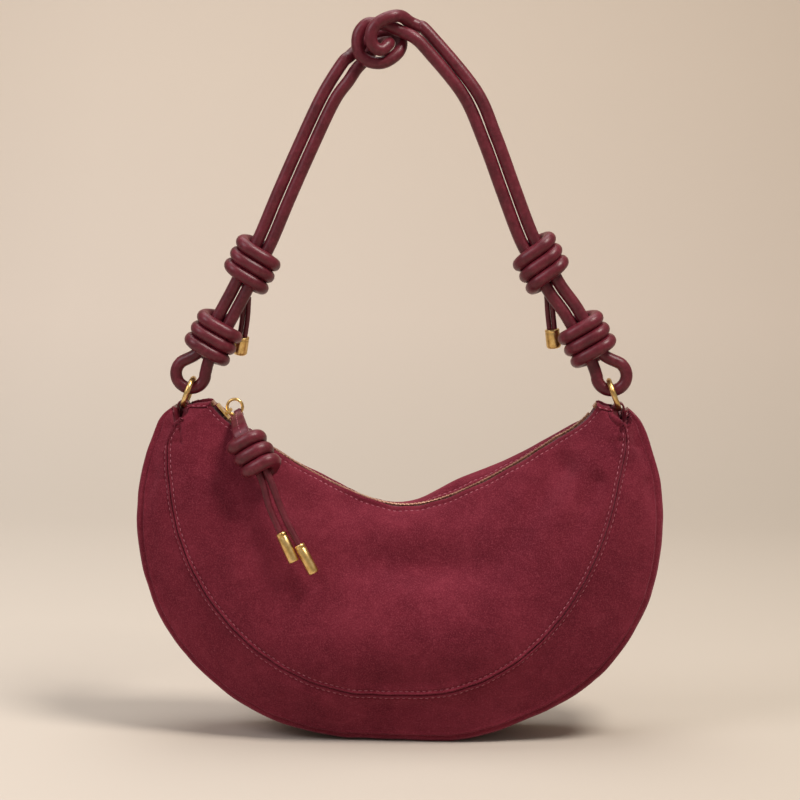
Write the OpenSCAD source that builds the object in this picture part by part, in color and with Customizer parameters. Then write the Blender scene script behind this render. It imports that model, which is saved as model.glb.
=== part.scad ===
// Half moon shoulder bag: suede shell, arched zip, brass rings and a knotted leather cord strap.
// Origin at the middle of the base, +Z up, the front faces -Y. Lengths in millimetres.

/* [Body] */
// Width across the two sides
body_w = 300; // [280:1:320]
// Height of the top corners above the base
body_h = 190; // [184:1:196]
// Depth through the fullest part of the front and the back
body_depth = 80; // [70:1:84]
// Depth of the gusset between its two seams at the base
gusset_depth = 52; // [44:1:56]
// How far the sides lean in at the top corners
side_lean = 15.4; // [10:0.2:18]
// Height cut off the round underside, so that the bag stands
base_cut = 1.8; // [1:0.1:2.6]
// How far the gusset bulges past its seams
gusset_crown = 3.4; // [2:0.2:4.4]
// Width of the band between the curved seam and the gusset, at the base
band_w = 26.5; // [22:0.5:30]
// Thickness of the suede
suede_t = 1.6; // [1.2:0.1:1.8]
// How far the back panel stands over the zip on its two slopes
back_rise = 8; // [4:0.5:9]

/* [Lining] */
// Thickness of the lining
lining_t = 0.8; // [0.5:0.1:1]
// Thickness of the slip pocket
pocket_t = 1; // [0.6:0.1:1.4]

/* [Zip] */
// Distance between the slider's two end positions, as a share of the bag's width
zip_span_share = 0.7033; // [0.69:0.001:0.71]
// Distance of the slider's end positions below the top of the bag
zip_end_drop = 4; // [2:0.5:6]
// How far the zip sags from its ends to its middle, as a share of the bag's height
zip_sag_share = 0.2579; // [0.24:0.001:0.27]
// Sideways place of the middle of the zip
zip_shift = 2; // [0:0.5:3]
// Half of the gap between the front and back panels at the zip
zip_half_gap = 4.4; // [4.2:0.1:5]
// Distance from one tooth to the next
tooth_pitch = 2.4; // [2.2:0.1:3]
// Length of a tooth along the zip
tooth_len = 1.3; // [1:0.1:1.5]
// Height of a tooth
tooth_h = 2.2; // [1.8:0.1:2.4]
// Width of a tooth across the zip
tooth_w = 1.7; // [1.4:0.1:1.8]
// Thickness of the tape
tape_t = 0.6; // [0.4:0.1:0.8]
// Length of the slider
slider_l = 11; // [10:0.5:12]
// Width of the slider
slider_w = 7.6; // [7.2:0.1:7.8]
// Thickness of the slider's two plates
slider_plate_t = 0.9; // [0.8:0.1:1.2]

/* [Rings] */
// Outer diameter of a strap ring
ring_d = 20; // [19:0.5:22]
// Thickness of its wire
ring_wire = 3; // [2.6:0.1:3.2]
// Distance of a strap ring's centre from the widest place of the side
ring_inset = 27.6; // [26:0.2:30]
// Height of a strap ring's centre above the top of the bag
ring_rise = 8; // [7:0.2:11]
// How far a strap ring leans towards the middle, in degrees
ring_tilt = 20; // [12:1:22]
// Width of the leather tab that holds it
tab_w = 8; // [6:0.2:8.4]
// Thickness of the tab's leather
tab_t = 1.3; // [1:0.1:1.4]

/* [Pull] */
// Outer diameter of the pull's ring
pull_ring_d = 10.6; // [10:0.2:11.4]
// Thickness of its wire
pull_ring_wire = 1.7; // [1.5:0.1:1.8]
// Thickness of the pull's leather tab
pull_tab_t = 2.4; // [2:0.1:2.8]
// Width of the tab's lower end
pull_tab_w = 10; // [8:0.5:11]
// Diameter of the cord that the pull's knot is wrapped from
pull_wrap_d = 7; // [6:0.2:7.4]
// Diameter of the two thin cords
pull_cord_d = 4; // [3.4:0.1:4.2]
// Diameter of a pull cap
pull_cap_d = 6.3; // [5.8:0.1:6.6]
// Length of a pull cap
pull_cap_l = 18; // [15:0.5:19]

/* [Strap] */
// Diameter of the rolled leather cord
cord_d = 7; // [6.4:0.1:7.2]
// Height of the top knot above the rings
strap_rise = 202.6; // [196:0.2:210]
// Radius of the loop round a ring, to the cord's centre
loop_r = 8.5; // [8.3:0.1:9.2]
// Turns of cord in a knot
knot_turns = 3; // [2:1:3]
// Diameter of a tail's cord
tail_d = 6; // [5:0.1:6.2]
// Diameter of a tail's brass cap
tail_cap_d = 8.4; // [8:0.1:9]
// Length of a tail's brass cap
tail_cap_l = 11; // [10:0.5:12]

/* [Hidden] */

// Colours, as the photograph shows them
suede = [0.50, 0.16, 0.23];
leather = [0.42, 0.17, 0.22];
brass = [0.74, 0.55, 0.20];
cloth = [0.25, 0.13, 0.13];

// Clearance between sewn pieces, and between soft pieces that move past each other
seam_gap = 0.2;
soft_gap = 0.35;
cut_over = 1;

// Outline of the half moon: u runs from -1 at the left corner, round the base, to 1 at the right corner
half_w = body_w / 2;
widest_share = 0.658;
side_u_share = 0.7;
round_power = 2.15;
lean_power = 2.5;
widest_z = body_h * widest_share;
u_step = 0.002;

function side_x(z) = half_w - side_lean * pow(max(0, (z - widest_z) / (body_h - widest_z)), lean_power);
function outer_side(u) =
    let (z = widest_z + (body_h - widest_z) * (abs(u) - side_u_share) / (1 - side_u_share))
    [sign(u) * side_x(z), z];
function outer_round(u) =
    let (angle = 90 * abs(u) / side_u_share, rest = pow(cos(angle), 2 / round_power))
    [sign(u) * half_w * pow(sin(angle), 2 / round_power), max(0, widest_z * (1 - rest) - base_cut * rest)];
function outer(u) = abs(u) > side_u_share ? outer_side(u) : outer_round(u);
function unit(v) = v / norm(v);
function outer_normal(u) = let (d = unit(outer(u + u_step) - outer(u - u_step))) [d[1], -d[0]];

// Places of the strap rings
ring_x = half_w - ring_inset;
ring_z = body_h + ring_rise;

// Zip line: one arc, whose centre is the axis that the slider turns about
zip_span = zip_span_share * body_w;
zip_sag = zip_sag_share * body_h;
zip_mid_h = body_h - zip_end_drop - zip_sag;
zip_r = (pow(zip_span / 2, 2) + pow(zip_sag, 2)) / (2 * zip_sag);
zip_centre = [zip_shift, zip_mid_h + zip_r];
slider_angle = asin(zip_span / 2 / zip_r);
function turn_along(length) = length / zip_r * 180 / PI;
stop_l = 3;
stop_angle = slider_angle + turn_along(slider_l / 2 + soft_gap);
edge_angle = stop_angle + turn_along(stop_l + seam_gap);
function zip_point(angle, above) =
    zip_centre + (zip_r - above) * [sin(angle), -cos(angle)];

// Top edges of the two panels: along the zip, then over the shoulders to the corners
zip_u_share = 0.86;
corner_half = ring_x - 1.9;
corner_z = body_h + 0.5;
edge_over = 0.5;
front_rise = 1.5;
edge_half = zip_half_gap + suede_t;
function slope_bump(angle) = pow(max(0, sin(180 * abs(angle) / slider_angle)), 1.5);
function edge_rise(side, angle) = abs(angle) > slider_angle ? 0
    : side < 0 ? (angle < 0 ? front_rise * slope_bump(angle) : 0) : back_rise * slope_bump(angle);
function edge_on_zip(side, u) = let (angle = edge_angle * u / zip_u_share)
    zip_point(angle, edge_over) + [0, edge_rise(side, angle)];
function edge(side, u) = abs(u) <= zip_u_share ? edge_on_zip(side, u)
    : let (part = (abs(u) - zip_u_share) / (1 - zip_u_share))
    (1 - part) * edge_on_zip(side, sign(u) * zip_u_share) + part * [sign(u) * corner_half, corner_z];

// Half depths: at the gusset seam, at the fullest place, and down a panel
gusset_taper_share = 0.65;
corner_depth_share = 0.28;
fullest_share = 0.585;
full_power = 1.7;
function seam_half(u) = gusset_depth / 2 * (1 - gusset_taper_share * pow(abs(u), 3));
function full_half(u) = body_depth / 2 * (1 - (1 - corner_depth_share) * pow(abs(u), full_power));
function half_depth(u, v) = v <= fullest_share
    ? edge_half + (full_half(u) - edge_half) * sin(90 * v / fullest_share)
    : seam_half(u) + (full_half(u) - seam_half(u)) * cos(90 * (v - fullest_share) / (1 - fullest_share));

// Skin of the bag: w runs from -3 at the front edge over -1 and 1 at the gusset's seams to 3 at the back edge
flat_share = 0.8;
function crown_drop(w) = gusset_crown * pow(max(0, (abs(w) - flat_share) / (1 - flat_share)), 1.5);
function seam_line(u) = outer(u) - gusset_crown * outer_normal(u);
function panel_point(u, side, v) = let (p = (1 - v) * edge(side, u) + v * seam_line(u))
    [p[0], side * half_depth(u, v), p[1]];
function gusset_point(u, w) = let (p = outer(u) - crown_drop(w) * outer_normal(u))
    [p[0], w * seam_half(u), p[1]];
function skin(u, w) = abs(w) > 1 ? panel_point(u, sign(w), (3 - abs(w)) / 2) : gusset_point(u, w);
w_step = 0.02;
function skin_normal(u, w) = unit(cross(skin(u, min(3, w + w_step)) - skin(u, max(-3, w - w_step)),
    skin(u + u_step, w) - skin(u - u_step, w)));
function skin_in(u, w, depth) = skin(u, w) - depth * skin_normal(u, w);

// Curved double-stitched seam between the panel and the band, as a value of w
side_band_left = 0.12;
side_band_right = 0.26;
corner_band = 0.5;
function ease(t) = let (x = max(0, min(1, t))) x * x * (3 - 2 * x);
function face_width(side, u) = (seam_line(u) - edge(side, u)) * outer_normal(u);
base_share = band_w / face_width(-1, 0);
function side_band(u) = u < 0 ? side_band_left : side_band_right;
function band_share(side, u) = let (low = base_share + side_band(side * -u) * ease(abs(u) / 0.8))
    low + (corner_band - low) * ease((abs(u) - 0.86) / 0.07);
function seam_w(side, u) = side * (1 + 2 * band_share(side, u));

// A closed sheet from two grids of points, rows of equal length
function flat_list(rows) = [for (row = rows) for (p = row) p];
module sheet(top, under) {
    n = len(top);
    m = len(top[0]);
    k = n * m;
    faces = concat(
        [for (i = [0 : n - 2], j = [0 : m - 2]) [i * m + j, (i + 1) * m + j, i * m + j + 1]],
        [for (i = [0 : n - 2], j = [0 : m - 2]) [(i + 1) * m + j, (i + 1) * m + j + 1, i * m + j + 1]],
        [for (i = [0 : n - 2], j = [0 : m - 2]) [k + i * m + j, k + i * m + j + 1, k + (i + 1) * m + j]],
        [for (i = [0 : n - 2], j = [0 : m - 2]) [k + (i + 1) * m + j, k + i * m + j + 1, k + (i + 1) * m + j + 1]],
        [for (i = [0 : n - 2]) [i * m, k + i * m, (i + 1) * m]],
        [for (i = [0 : n - 2]) [(i + 1) * m, k + i * m, k + (i + 1) * m]],
        [for (i = [0 : n - 2]) [i * m + m - 1, (i + 1) * m + m - 1, k + i * m + m - 1]],
        [for (i = [0 : n - 2]) [(i + 1) * m + m - 1, k + (i + 1) * m + m - 1, k + i * m + m - 1]],
        [for (j = [0 : m - 2]) [j, j + 1, k + j]],
        [for (j = [0 : m - 2]) [j + 1, k + j + 1, k + j]],
        [for (j = [0 : m - 2]) [(n - 1) * m + j, k + (n - 1) * m + j, (n - 1) * m + j + 1]],
        [for (j = [0 : m - 2]) [(n - 1) * m + j + 1, k + (n - 1) * m + j, k + (n - 1) * m + j + 1]]);
    polyhedron(points = concat(flat_list(top), flat_list(under)), faces = faces);
}

// A sheet of the skin between two lines w0(u) and w1(u), from one depth below the skin to another
u_count = 36;
function grid(us, w0s, w1s, count, depth) = [for (i = [0 : len(us) - 1])
    [for (j = [0 : count]) skin_in(us[i], w0s[i] + (w1s[i] - w0s[i]) * j / count, depth)]];
module skin_sheet(us, w0s, w1s, count, depth, thick) {
    sheet(grid(us, w0s, w1s, count, depth), grid(us, w0s, w1s, count, depth + thick));
}
skin_us = [for (i = [0 : u_count]) -1 + 2 * i / u_count];
function all_same(us, w) = [for (u = us) w];
seam_gap_w = 0.01;

// Front and back faces
panel_rows = 8;
band_rows = 3;
gusset_rows_w = [-1, -0.8, 0, 0.8, 1];
module panel(side) {
    color(suede)
        if (side < 0)
            skin_sheet(skin_us, all_same(skin_us, -3), [for (u = skin_us) seam_w(-1, u)], panel_rows, 0, suede_t);
        else
            skin_sheet(skin_us, [for (u = skin_us) seam_w(1, u)], all_same(skin_us, 3), panel_rows, 0, suede_t);
}
module band(side) {
    color(suede)
        if (side < 0)
            skin_sheet(skin_us, [for (u = skin_us) seam_w(-1, u) + seam_gap_w],
                all_same(skin_us, -1 - seam_gap_w), band_rows, 0, suede_t);
        else
            skin_sheet(skin_us, all_same(skin_us, 1 + seam_gap_w),
                [for (u = skin_us) seam_w(1, u) - seam_gap_w], band_rows, 0, suede_t);
}
module front_panel() { panel(-1); }
module front_band() { band(-1); }
module back_band() { band(1); }
module back_panel() { panel(1); }
module gusset() {
    color(suede)
        sheet([for (u = skin_us) [for (w = gusset_rows_w) skin_in(u, w, 0)]],
            [for (u = skin_us) [for (w = gusset_rows_w) skin_in(u, w, suede_t)]]);
}

// Lining: one sheet from the front edge down under the base and up to the back edge
lining_us = [for (i = [0 : 28]) 0.93 * (-1 + 2 * i / 28)];
lining_ws = [-2.94, -2.7, -2.3, -1.9, -1.5, -1.1, -0.8, 0, 0.8, 1.1, 1.5, 1.9, 2.3, 2.7, 2.94];
lining_gap = 0.5;
lining_depth = suede_t + lining_gap;
module lining() {
    color(cloth)
        sheet([for (u = lining_us) [for (w = lining_ws) skin_in(u, w, lining_depth)]],
            [for (u = lining_us) [for (w = lining_ws) skin_in(u, w, lining_depth + lining_t)]]);
}

// Slip pocket on the back of the lining
pocket_us = [for (i = [9 : 19]) lining_us[i]];
pocket_ws = [for (j = [10 : 12]) lining_ws[j]];
pocket_depth = lining_depth + lining_t + seam_gap;
module slip_pocket() {
    color(cloth)
        sheet([for (u = pocket_us) [for (w = pocket_ws) skin_in(u, w, pocket_depth)]],
            [for (u = pocket_us) [for (w = pocket_ws) skin_in(u, w, pocket_depth + pocket_t)]]);
}

// Zip: places on the arc are made in the plane of the arc and stood up
module stand_on_zip() {
    translate([zip_centre[0], 0, zip_centre[1]]) rotate([90, 0, 0]) children();
}
// A ribbon of the arc between two angles and two heights over the zip line, and across from y0 to y1
module arc_ribbon(angle0, angle1, low, high, y0, y1) {
    stand_on_zip() translate([0, 0, -y1]) rotate([0, 0, angle0 - 90])
        rotate_extrude(angle = angle1 - angle0, $fn = 180)
            translate([zip_r - high, 0]) square([high - low, y1 - y0]);
}
chain_angle = stop_angle - turn_along(seam_gap);
tooth_y = 0.5;
tape_y = tooth_y + tooth_w - 0.5;
module tape(side) {
    y0 = side < 0 ? -zip_half_gap + seam_gap : tape_y;
    y1 = side < 0 ? -tape_y : zip_half_gap - seam_gap;
    color(cloth) arc_ribbon(-edge_angle, edge_angle, -tape_t / 2, tape_t / 2, y0, y1);
}
tooth_count = floor(2 * chain_angle / turn_along(tooth_pitch));
bead_w = 0.4;
module teeth(side) {
    y0 = side < 0 ? -tape_y : tape_y - bead_w;
    tooth_y0 = side < 0 ? -tooth_y - tooth_w : tooth_y;
    color(brass) {
        difference() {
            union() {
                for (i = [0 : tooth_count]) {
                    angle = -chain_angle + turn_along(tooth_len / 2) + (i + (side < 0 ? 0 : 0.5) / 2)
                        * (2 * chain_angle - 2 * turn_along(tooth_len)) / (tooth_count + 0.5);
                    stand_on_zip() rotate([0, 0, angle - 90])
                        translate([zip_r - tooth_h / 2, -tooth_len / 2, -tooth_y0 - tooth_w])
                            cube([tooth_h, tooth_len, tooth_w]);
                }
            }
            arc_ribbon(-edge_angle - 1, edge_angle + 1, -tape_t / 2, tape_t / 2,
                side < 0 ? -zip_half_gap : tape_y, side < 0 ? -tape_y : zip_half_gap);
        }
        arc_ribbon(-chain_angle, chain_angle, -tape_t / 2, tape_t / 2, y0, y0 + bead_w);
    }
}
stop_w = 2 * (zip_half_gap - 1);
module zip_stop(side) {
    color(brass)
        difference() {
            arc_ribbon(side < 0 ? -edge_angle + turn_along(seam_gap) : stop_angle,
                side < 0 ? -stop_angle : edge_angle - turn_along(seam_gap),
                -tooth_h / 2, tooth_h / 2, -stop_w / 2, stop_w / 2);
            for (s = [-1, 1])
                arc_ribbon(-edge_angle - 1, edge_angle + 1, -tape_t / 2, tape_t / 2,
                    s < 0 ? -zip_half_gap : tape_y, s < 0 ? -tape_y : zip_half_gap);
        }
}

// Suede cover over each end of the zip
cover_rise = 1.4;
cover_t = 1.2;
cover_lift = tooth_h / 2 + seam_gap;
function cover_point(side, u, w, drop) = let (p = edge(-1, side * u))
    [p[0], w * (edge_half + seam_gap), p[1] + cover_lift + cover_rise * (1 - w * w) - drop];
module end_cover(side) {
    us = [for (i = [0 : 5]) zip_u_share + 0.006 + 0.11 * i / 5];
    ws = [for (j = [0 : 6]) side * (1 - j / 3)];
    color(suede)
        sheet([for (u = us) [for (w = ws) cover_point(side, u, w, 0)]],
            [for (u = us) [for (w = ws) cover_point(side, u, w, cover_t)]]);
}

// Strap rings and the leather tabs that hold them
ring_r = (ring_d - ring_wire) / 2;
tab_eye_r = ring_wire / 2 + (ring_r - sqrt(ring_r * ring_r - tab_w * tab_w / 4)) / 2 + soft_gap - 0.05;
eye_shift = (ring_r - sqrt(ring_r * ring_r - tab_w * tab_w / 4)) / 2;
function tab_eye(side) = [side * (ring_x + (ring_r - eye_shift) * sin(ring_tilt)),
    ring_z - (ring_r - eye_shift) * cos(ring_tilt)];
tab_stem_w = 3.2;
tab_l = 14;
petal_u = 0.96;
petal_ws = [2.85, 2.5, 2.1, 1.7, 1.35, 1.08];
petal_rise = 1;
petal_sink = 0.7;
function petal_point(side, w, across, drop) = let (d = suede_t + seam_gap + petal_sink,
    a = skin_in(side * petal_u, -w, d), b = skin_in(side * petal_u, w, d))
    (a + b) / 2 + across * (b - a) / 2 + [0, 0, petal_rise * (1 - across * across) - drop];
module strap_ring(side) {
    color(brass)
        translate([side * ring_x, 0, ring_z]) rotate([0, -side * ring_tilt, 0]) rotate([0, 90, 0])
            rotate_extrude($fn = 96) translate([ring_r, 0]) circle(d = ring_wire, $fn = 32);
}
module ring_tab(side) {
    eye = tab_eye(side);
    outer_r = tab_eye_r + tab_t;
    petal_cols = [for (j = [0 : 4]) side * (1 - j / 2)];
    color(leather) {
        sheet([for (w = petal_ws) [for (t = petal_cols) petal_point(side, w, t, 0)]],
            [for (w = petal_ws) [for (t = petal_cols) petal_point(side, w, t, tab_t)]]);
        translate([eye[0], tab_w / 2, eye[1]]) rotate([90, 0, 0])
            difference() {
                union() {
                    cylinder(r = outer_r, h = tab_w, $fn = 64);
                    translate([-tab_stem_w / 2, -tab_l, 0]) cube([tab_stem_w, tab_l - tab_eye_r - tab_t / 2, tab_w]);
                }
                translate([0, 0, -cut_over]) cylinder(r = tab_eye_r, h = tab_w + 2 * cut_over, $fn = 64);
            }
    }
}

// Slider: two plates joined by a post between the rows of teeth, and a bridge for the pull's ring
slider_gap = tooth_h / 2 + 0.35;
slider_top = slider_gap + slider_plate_t;
slider_mid = (slider_gap + slider_top) / 2;
post_half = 0.3;
bridge_w = 3.6;
bridge_leg = 0.9;
bridge_half_l = 1;
bridge_along = 2.1;
slider_half = turn_along(slider_l / 2);
pull_ring_r = (pull_ring_d - pull_ring_wire) / 2;
pull_centre_along = 2.4;
pull_centre_over = 8.5;
bridge_low = pull_centre_over - pull_ring_r + pull_ring_wire / 2 + 0.45;
bridge_top = bridge_low + bridge_leg;
module zip_slider() {
    a = -slider_angle;
    b = a + turn_along(bridge_along);
    color(brass) {
        arc_ribbon(a - slider_half, a + slider_half, slider_gap, slider_top, -slider_w / 2, slider_w / 2);
        arc_ribbon(a - slider_half, a + slider_half, -slider_top, -slider_gap, -slider_w / 2, slider_w / 2);
        arc_ribbon(a + slider_half / 2, a + slider_half * 0.98, -slider_mid, slider_mid, -post_half, post_half);
        for (y = [-bridge_w / 2, bridge_w / 2 - bridge_leg])
            arc_ribbon(b - turn_along(bridge_half_l), b + turn_along(bridge_half_l), slider_mid, bridge_top,
                y, y + bridge_leg);
        arc_ribbon(b - turn_along(bridge_half_l), b + turn_along(bridge_half_l), bridge_low, bridge_top,
            -bridge_w / 2, bridge_w / 2);
    }
}

// The pull hangs from its ring: along is the way it points in the plane of the front, out is towards the front
zip_along = [cos(slider_angle), -sin(slider_angle)];
zip_over = [sin(slider_angle), cos(slider_angle)];
pull_centre = zip_point(-slider_angle, 0) + pull_centre_along * zip_along + pull_centre_over * zip_over;
pull_dir_angle = -58.6;
module on_pull() {
    translate([pull_centre[0], 0, pull_centre[1]]) rotate([0, -pull_dir_angle, 0]) children();
}
function pull_place(along, side, out) = let (c = cos(pull_dir_angle), s = sin(pull_dir_angle))
    [pull_centre[0] + along * c - side * s, -out, pull_centre[1] + along * s + side * c];
module pull_ring() {
    color(brass)
        translate([pull_centre[0], 0, pull_centre[1]]) rotate([90, 0, 0])
            rotate_extrude($fn = 72) translate([pull_ring_r, 0]) circle(d = pull_ring_wire, $fn = 24);
}
pull_eye_w = 4;
pull_eye_r = pull_ring_wire / 2 + 0.5;
pull_eye_at = pull_ring_r - 0.25;
// The tab's middle line from its eye over the front edge and down: along, out, half width
pull_tab_line = [[pull_eye_at + 0.4, pull_eye_r + pull_tab_t / 4, 2.1], [pull_eye_at + 0.9, 9, 3.4],
    [8.2, 18, 4.2], [11.5, 25.4, 4.4], [16, 28, 3.6], [26, 30.5, 3.6]];
pull_tab_half = [for (p = pull_tab_line) p[2] * pull_tab_w / 10];
module pull_tab() {
    n = len(pull_tab_line);
    dirs = [for (i = [0 : n - 1]) let (a = pull_tab_line[max(0, i - 1)], b = pull_tab_line[min(n - 1, i + 1)])
        unit([b[0] - a[0], b[1] - a[1]])];
    function row(i, face) = [for (side = [-1, 1])
        pull_place(pull_tab_line[i][0] - face * dirs[i][1] * pull_tab_t / 2, side * pull_tab_half[i],
            pull_tab_line[i][1] + face * dirs[i][0] * pull_tab_t / 2)];
    color(leather) {
        sheet([for (i = [0 : n - 1]) row(i, -1)], [for (i = [0 : n - 1]) row(i, 1)]);
        on_pull() translate([pull_eye_at, 0, -pull_eye_w / 2])
                difference() {
                    cylinder(r = pull_eye_r + pull_tab_t / 2, h = pull_eye_w, $fn = 48);
                    translate([0, 0, -cut_over]) cylinder(r = pull_eye_r, h = pull_eye_w + 2 * cut_over, $fn = 48);
                }
    }
}

// Tubes swept along points
function tube_dir(pts, i) = unit(pts[min(len(pts) - 1, i + 1)] - pts[max(0, i - 1)]);
function turn_frame(side, dir) = unit(side - (side * dir) * dir);
function carry(pts, side, i = 0) = i == len(pts) ? []
    : let (s = turn_frame(side, tube_dir(pts, i))) concat([s], carry(pts, s, i + 1));
module tube(pts, d, sides, first_side = [0, 1, 0]) {
    n = len(pts);
    across = carry(pts, first_side);
    rings = [for (i = [0 : n - 1]) let (s = across[i], t = cross(tube_dir(pts, i), s))
        for (k = [0 : sides - 1]) pts[i] + d / 2 * (cos(360 * k / sides) * s + sin(360 * k / sides) * t)];
    polyhedron(points = rings, faces = concat(
        [for (i = [0 : n - 2], k = [0 : sides - 1]) [i * sides + k, (i + 1) * sides + k, i * sides + (k + 1) % sides]],
        [for (i = [0 : n - 2], k = [0 : sides - 1])
            [(i + 1) * sides + k, (i + 1) * sides + (k + 1) % sides, i * sides + (k + 1) % sides]],
        [for (k = [1 : sides - 2]) [0, k, k + 1]],
        [for (k = [1 : sides - 2]) [(n - 1) * sides, (n - 1) * sides + k + 1, (n - 1) * sides + k]]));
}
// A smooth line through points, with some steps between each two
function spline_at(p, i, t) = let (n = len(p), a = p[max(0, i - 1)], b = p[i], c = p[i + 1], d = p[min(n - 1, i + 2)])
    0.5 * (2 * b + (c - a) * t + (2 * a - 5 * b + 4 * c - d) * t * t + (3 * b - a - 3 * c + d) * t * t * t);
function smooth_line(p, steps) = concat([for (i = [0 : len(p) - 2], k = [0 : steps - 1]) spline_at(p, i, k / steps)],
    [p[len(p) - 1]]);

// A knot of turns wrapped round two things that lie side by side: mid half width, wrap radius and pitch
function wrap_point(mid, r, pitch, angle, turns) =
    [mid * max(-1, min(1, 3 * cos(angle))) + r * cos(angle), r * sin(angle), pitch * ((angle - 90) / 360 - turns / 2)];
wrap_rings = 24;
function wrap_line(mid, r, pitch, turns, d) = let (
    body = [for (i = [0 : turns * wrap_rings]) wrap_point(mid, r, pitch, 90 + 360 * i / wrap_rings, turns)],
    last = len(body) - 1)
    concat([body[0] - d * unit(body[1] - body[0])], body, [body[last] + d * unit(body[last] - body[last - 1])]);
function stand_wrap(line, at, dir) = let (across = [dir[2], 0, -dir[0]])
    [for (p = line) at + p[0] * across + p[1] * [0, 1, 0] + p[2] * dir];

// Strap route, as shares of ring_x and strap_rise: the line midway between the two cords
left_route_shares = [[-0.878, 0.156], [-0.800, 0.240], [-0.756, 0.289], [-0.692, 0.364], [-0.628, 0.438],
    [-0.545, 0.555],
    [-0.442, 0.693], [-0.335, 0.828]];
right_route_shares = [[0.872, 0.156], [0.797, 0.236], [0.723, 0.297], [0.655, 0.370], [0.587, 0.443],
    [0.502, 0.577],
    [0.415, 0.719], [0.320, 0.846]];
upper_i = 3;
function route_point(s) = [s[0] * ring_x, 0, ring_z + s[1] * strap_rise];
left_route = [for (s = left_route_shares) route_point(s)];
right_route = [for (s = right_route_shares) route_point(s)];
cord_half_pitch = cord_d / 2 + 0.25;
function route_dir(route, i) = unit(route[min(len(route) - 1, i + 1)] - route[max(0, i - 1)]);
function beside(route, offset) = [for (i = [0 : len(route) - 1]) let (d = route_dir(route, i))
    route[i] + offset * [d[2], 0, -d[0]]];

// Top knot, in cord diameters from its centre: one cord arches over the front and goes through the middle,
// the other lies round it and leaves behind
top_knot_at = [-0.084 * ring_x, 0, ring_z + strap_rise];
front_knot_shares = [[3.75, 0.25, 0.30], [3.00, 0.30, 0.80], [2.28, 0.20, 1.14], [1.65, -0.45, 1.56],
    [1.00, -1.05, 1.56], [0.10, -1.30, 1.22], [-0.55, -1.42, 0.66], [-0.79, -1.43, -0.06], [-0.59, -1.36, -0.81],
    [0.01, -1.14, -1.11], [0.51, -0.69, -0.69], [0.54, -0.07, -0.50], [0.14, 0.50, -0.46],
    [-0.57, 0.72, -0.72], [-1.29, 0.64, -1.71], [-2.07, 0.36, -2.54], [-2.68, 0, -3.50]];
back_knot_shares = [[3.75, -0.25, -1.20], [2.65, -0.34, -0.12], [1.50, -0.16, 0.43], [0.43, -0.21, 0.89],
    [-0.43, -0.21, 1.03], [-1.21, -0.36, 0.97], [-1.80, -0.50, 0.29], [-1.93, -0.57, -0.61],
    [-1.69, -0.64, -1.51], [-0.99, -0.64, -2.01], [-0.09, -0.57, -2.13], [0.70, -0.43, -1.83],
    [1.41, 0, -1.14], [1.50, 0.64, -0.29], [0.71, 1.21, 0.43], [-0.57, 1.50, 0.21],
    [-1.88, 1.21, -0.77], [-2.66, 0.57, -1.54], [-3.25, 0.14, -2.14]];
function knot_points(shares) = [for (s = shares) top_knot_at + cord_d * s];
function reversed(list) = [for (i = [len(list) - 1 : -1 : 0]) list[i]];
front_line = concat(beside(left_route, cord_half_pitch), reversed(knot_points(front_knot_shares)),
    reversed(beside(right_route, cord_half_pitch)));
back_line = concat(beside(left_route, -cord_half_pitch), reversed(knot_points(back_knot_shares)),
    reversed(beside(right_route, -cord_half_pitch)));
module strap_cord_front() { color(leather) tube(smooth_line(front_line, 2), cord_d, 8); }
module strap_cord_back() { color(leather) tube(smooth_line(back_line, 2), cord_d, 8); }

// Cord loop round each ring, from inside the lower knot and back into it
wire_top = sqrt(pow(ring_r * cos(ring_tilt), 2));
loop_centre_up = wire_top + loop_r - cord_d / 2 - ring_wire / 2 - 0.59;
function loop_centre(side) = [side * (ring_x - ring_r * sin(ring_tilt) / 2), 0, ring_z + loop_centre_up];
loop_steps = 16;
function loop_line(side) = let (route = side < 0 ? left_route : right_route, c = loop_centre(side),
    dir = route_dir(route, 0), across = [dir[2], 0, -dir[0]], knot_in = route[0] - seam_gap * dir,
    low_in = route[0] - (1.5 * wrap_pitch + 0.5) * dir)
    concat([knot_in - cord_half_pitch * across, low_in - cord_half_pitch * across],
        [for (i = [0 : loop_steps]) let (a = -30 + 240 * i / loop_steps)
            c + loop_r * (-cos(a) * across - sin(a) * dir)],
        [low_in + cord_half_pitch * across, knot_in + cord_half_pitch * across]);
module strap_loop(side) { color(leather) tube(loop_line(side), cord_d, 8); }

// The four wrapped knots on the strap
wrap_gap = 0.55;
wrap_pitch = cord_d + wrap_gap;
wrap_r = cord_d + wrap_gap;
knot_wrap = wrap_line(cord_half_pitch, wrap_r, wrap_pitch, knot_turns, cord_d);
module strap_knot(route, i) {
    color(leather) tube(stand_wrap(knot_wrap, route[i], route_dir(route, i)), cord_d, 6, [0, 0, 1]);
}

// Short tails with brass caps, out of the upper knots and behind the cords
tail_seat = (cord_d + tail_d) / 2 + seam_gap / 2;
function tail_bends(side) = side < 0 ? [[-0.9, 0, -3.7], [-2.2, 4.4, -15.5], [-4.2, 6.9, -26.9]]
    : [[0.9, 0, -3.7], [1.5, 0.8, -13], [2.6, 1.8, -23]];
function tail_line(side) = let (route = side < 0 ? left_route : right_route, dir = route_dir(route, upper_i),
    across = [dir[2], 0, -dir[0]], from = route[upper_i] - (wrap_pitch * knot_turns / 2 + cord_d / 2 + 0.4) * dir
        + cord_half_pitch * across * (side < 0 ? 1 : -1))
    [for (b = tail_bends(side)) from + [0, tail_seat, 0] + b];
module tail(side) { color(leather) tube(smooth_line(tail_line(side), 3), tail_d, 8); }
cap_wall = (tail_cap_d - tail_d) / 2;
function aim(dir) = [0, acos(dir[2]), atan2(dir[1], dir[0])];
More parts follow.
